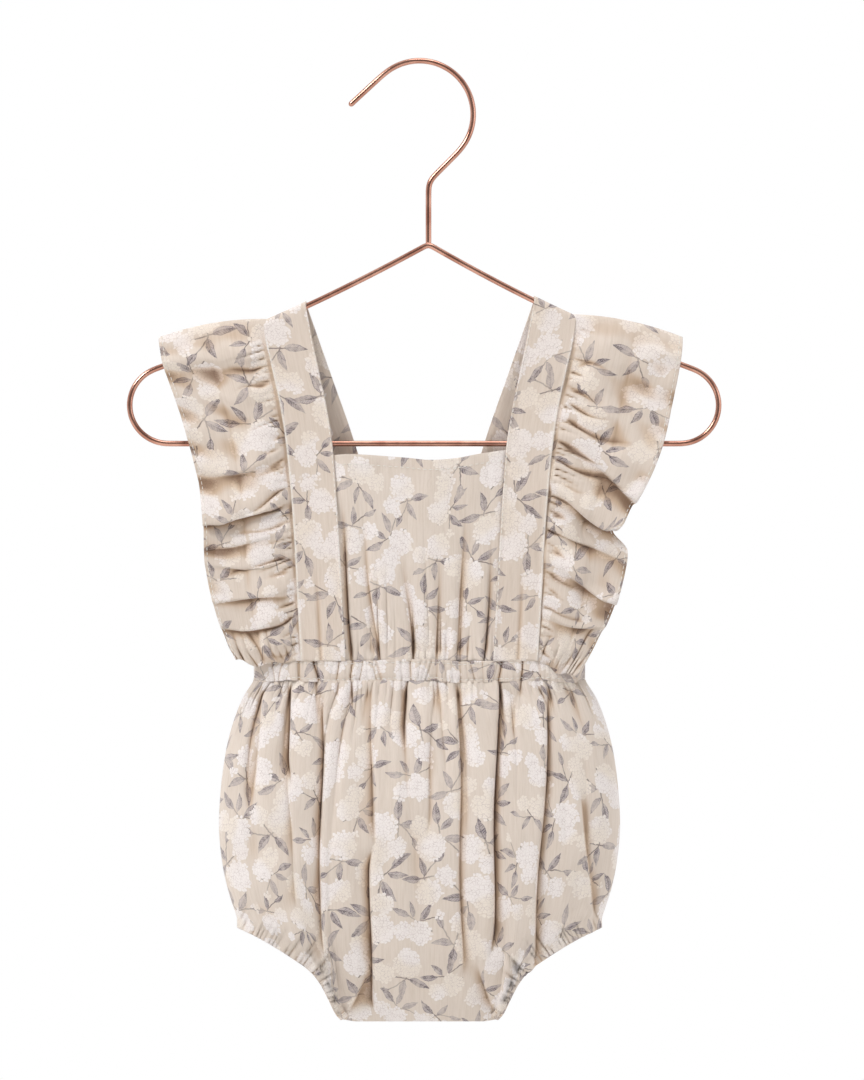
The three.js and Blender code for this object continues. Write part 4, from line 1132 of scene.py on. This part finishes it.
FRONT_FOLDS = [
    (-77, -84, 304, 380, 2.5, -1),
    (-63, -62, 300, 366, 7, -1),
    (-66, -60, 352, 428, 2.6, -1),
    (-47, -48, 312, 452, 4.4, -1),
    (-36, -33, 302, 340, 2.5, 1),
    (-22.7, -22.7, 302, 396, 2.8, -1),
    (-22.7, -23, 388, 484, 5, -1),
    (-5, -7, 299, 348, 5, -1),
    (7, 3, 306, 392, 2.4, 1),
    (17.7, 20.8, 302, 462, 3.8, 1),
    (37.5, 34.5, 299, 450, 6, 1),
    (50, 48, 303, 345, 2.6, -1),
    (64, 55, 306, 464, 4.6, 1),
    (80, 87, 360, 440, 3, 1),
    (-24, -45, 450, 494, 3.4, 1),
    (27, 44, 446, 494, 2.8, -1),
]
BACK_FOLDS = [
    (-74, -80, 304, 396, 3, -1),
    (-55, -58, 300, 430, 5.5, 1),
    (-38, -36, 302, 352, 3.2, -1),
    (-24, -27, 316, 466, 4.2, -1),
    (-3, 1, 300, 378, 4.6, 1),
    (9, 6, 356, 478, 3.6, 1),
    (27, 24, 301, 412, 6, 1),
    (46, 41, 303, 350, 3, -1),
    (59, 55, 306, 452, 4.8, 1),
    (78, 84, 330, 410, 3, 1),
]


def lower_edge(across):
    """A panel's lower edge as x, down and depth: the leg's edge outside, whose depth is a half
    ellipse from the side seam to the crotch, and the crotch seam in the middle."""
    side = np.where(across < 0, -1, 1)
    out = np.abs(across)
    inset = LEG["edge_shows"]
    share = np.clip((1 - out) / (1 - CROTCH["share"]), 0, 1)
    leg = leg_edge(1, share, inset)
    leg_depth = LEG["half_depth"] * 2 * np.sqrt(np.maximum(share * (1 - share), 0))
    leg_depth = np.where(share > 0.5, np.maximum(leg_depth, 0.3), leg_depth)
    corner = leg_edge(1, np.ones_like(out), inset)
    inner = np.clip(out / CROTCH["share"], 0, 1)
    middle_down = mix(CROTCH["down"], -corner[..., 2], smooth(inner, 0.8, 1))
    on_leg = out >= CROTCH["share"]
    x = np.where(on_leg, leg[..., 0], corner[..., 0] * inner)
    down = np.where(on_leg, -leg[..., 2], middle_down)
    return side * x, down, np.where(on_leg, leg_depth, 0.3)


def beside_leg(x, down):
    """How far along the leg's edge a point of the panel is, as a share from the side seam to the
    crotch, and how far from it in mm: from the nearest of 60 points on it and the slope there."""
    share = np.linspace(0, 1, 60)
    edge = leg_edge(1, share, 0)[:, [0, 2]]
    slope = np.gradient(edge, share, axis=0)
    place = np.stack([np.abs(x), -down], axis=-1)
    nearest = np.linalg.norm(place[:, :, None, :] - edge, axis=-1).argmin(axis=-1)
    offset = place - edge[nearest]
    past = (offset * slope[nearest]).sum(axis=-1) / (slope[nearest] ** 2).sum(axis=-1)
    return share[nearest] + past, np.linalg.norm(offset, axis=-1)


def bloomer_points(facing, table, seed):
    """A panel's cloth: straight columns from the waist to the lower edge, moved out by the side
    outline and forward by the dome, with three sizes of gathers from the waist, small puckers at the
    leg edge and the long folds. Also gives the painted shade in its hollows, folds and puckers."""
    share = np.linspace(0, 1, BLOOMER["columns"])[None, :]
    even = np.linspace(0, 1, BLOOMER["rows"])[:, None]
    fall = mix(even, 0.5 - 0.5 * np.cos(np.pi * even), 0.6)
    across = 0.5 * (2 * share - 1 - np.cos(np.pi * share))
    top = WAIST["top"] + WAIST["height"] - 0.5
    lower_x, lower_down, lower_depth = lower_edge(across)
    side_x, side_down, _ = lower_edge(np.ones(1))
    outline = through(BLOOMER_SIDE, "down", "out")(mix(top, side_down, fall))
    bulge = outline - mix(WAIST["half_width"], side_x, fall)
    x = mix(WAIST["half_width"] * across, lower_x, fall)
    x = x + across * bulge * mix(1, np.abs(across) ** 6, smooth(fall, 0.9, 1))
    down = mix(top, lower_down, fall)
    dome = through(BLOOMER_DEPTH, "fall", "depth")(fall) * fullness(across)
    edge = lower_depth * fall ** BLOOMER["edge_power"]
    seam_fade = smooth(1 - np.abs(across), 0, 0.07)
    fold_depth, fold_aside = folds(table, x, down, spread=(0.8, 1.5), fade_in=14)
    small = gathers(share, fall, BLOOMER["small"], seed)
    middle = gathers(share, fall, BLOOMER["middle"], seed + 2)
    large = gathers(share, 0.25 + 0.5 * fall, BLOOMER["large"], seed + 4)
    large = large * smooth(fall, 0.15, 0.4)
    near_leg = smooth(np.abs(across), 0.40, 0.5)
    leg_share, from_edge = beside_leg(x, down)
    legs = gathers(leg_share, from_edge / 100, BLOOMER["legs"], seed + 6)
    legs = legs * near_leg * smooth(1 - np.abs(across), 0, 0.03)
    down = down - 0.2 * legs
    relief = 0.6 * soft_wrinkles(x, down * 0.45, 19, seed=seed + 40)
    near_end = 1 - smooth(fall, 0.93, 1) * (1 - near_leg)
    puckers = waist_puckers(x, facing) * (1 - smooth(fall, 0.01, 0.13))
    at_waist = mix(0.3, 1, smooth(fall, 0, 0.05))
    moved = relief - (small + middle + fold_depth * near_end) * at_waist - large - puckers
    cover = LEG["cover"] * near_leg * smooth(fall, 0.85, 0.95) * seam_fade
    moved = moved * seam_fade - legs + cover
    depth = dome + edge + moved * near_end + SEAM_GAP / 2 - 0.3 * (1 - smooth(fall, 0, 0.012))
    depth = np.maximum(depth, SEAM_GAP / 2 + 0.3 * smooth(1 - np.abs(across), 0, 0.03))
    aside = fold_aside * seam_fade * near_end
    points = np.stack([x + aside, facing * depth, -down + 0 * x], axis=-1)
    # Painted shade in the panel's hollows, long folds, waist puckers and leg puckers.
    painted_shade = hollows(moved * near_end, 16, 4, 3.6) + 0.4 * smooth(fold_depth + puckers, 3, 9)
    return points, painted_shade + 0.35 * smooth(legs, 0.8, 2)


for word, facing, table, corner, seed in (("front", -1, FRONT_FOLDS, (0, 0), 41),
                                          ("back", 1, BACK_FOLDS, (311, 47), 53)):
    bloomer, painted_shade = bloomer_points(facing, table, seed)
    piece = cloth_piece(f"{word}_bloomer", bloomer, painted_shade, corner)
    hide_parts(f"bloomer_{word}")
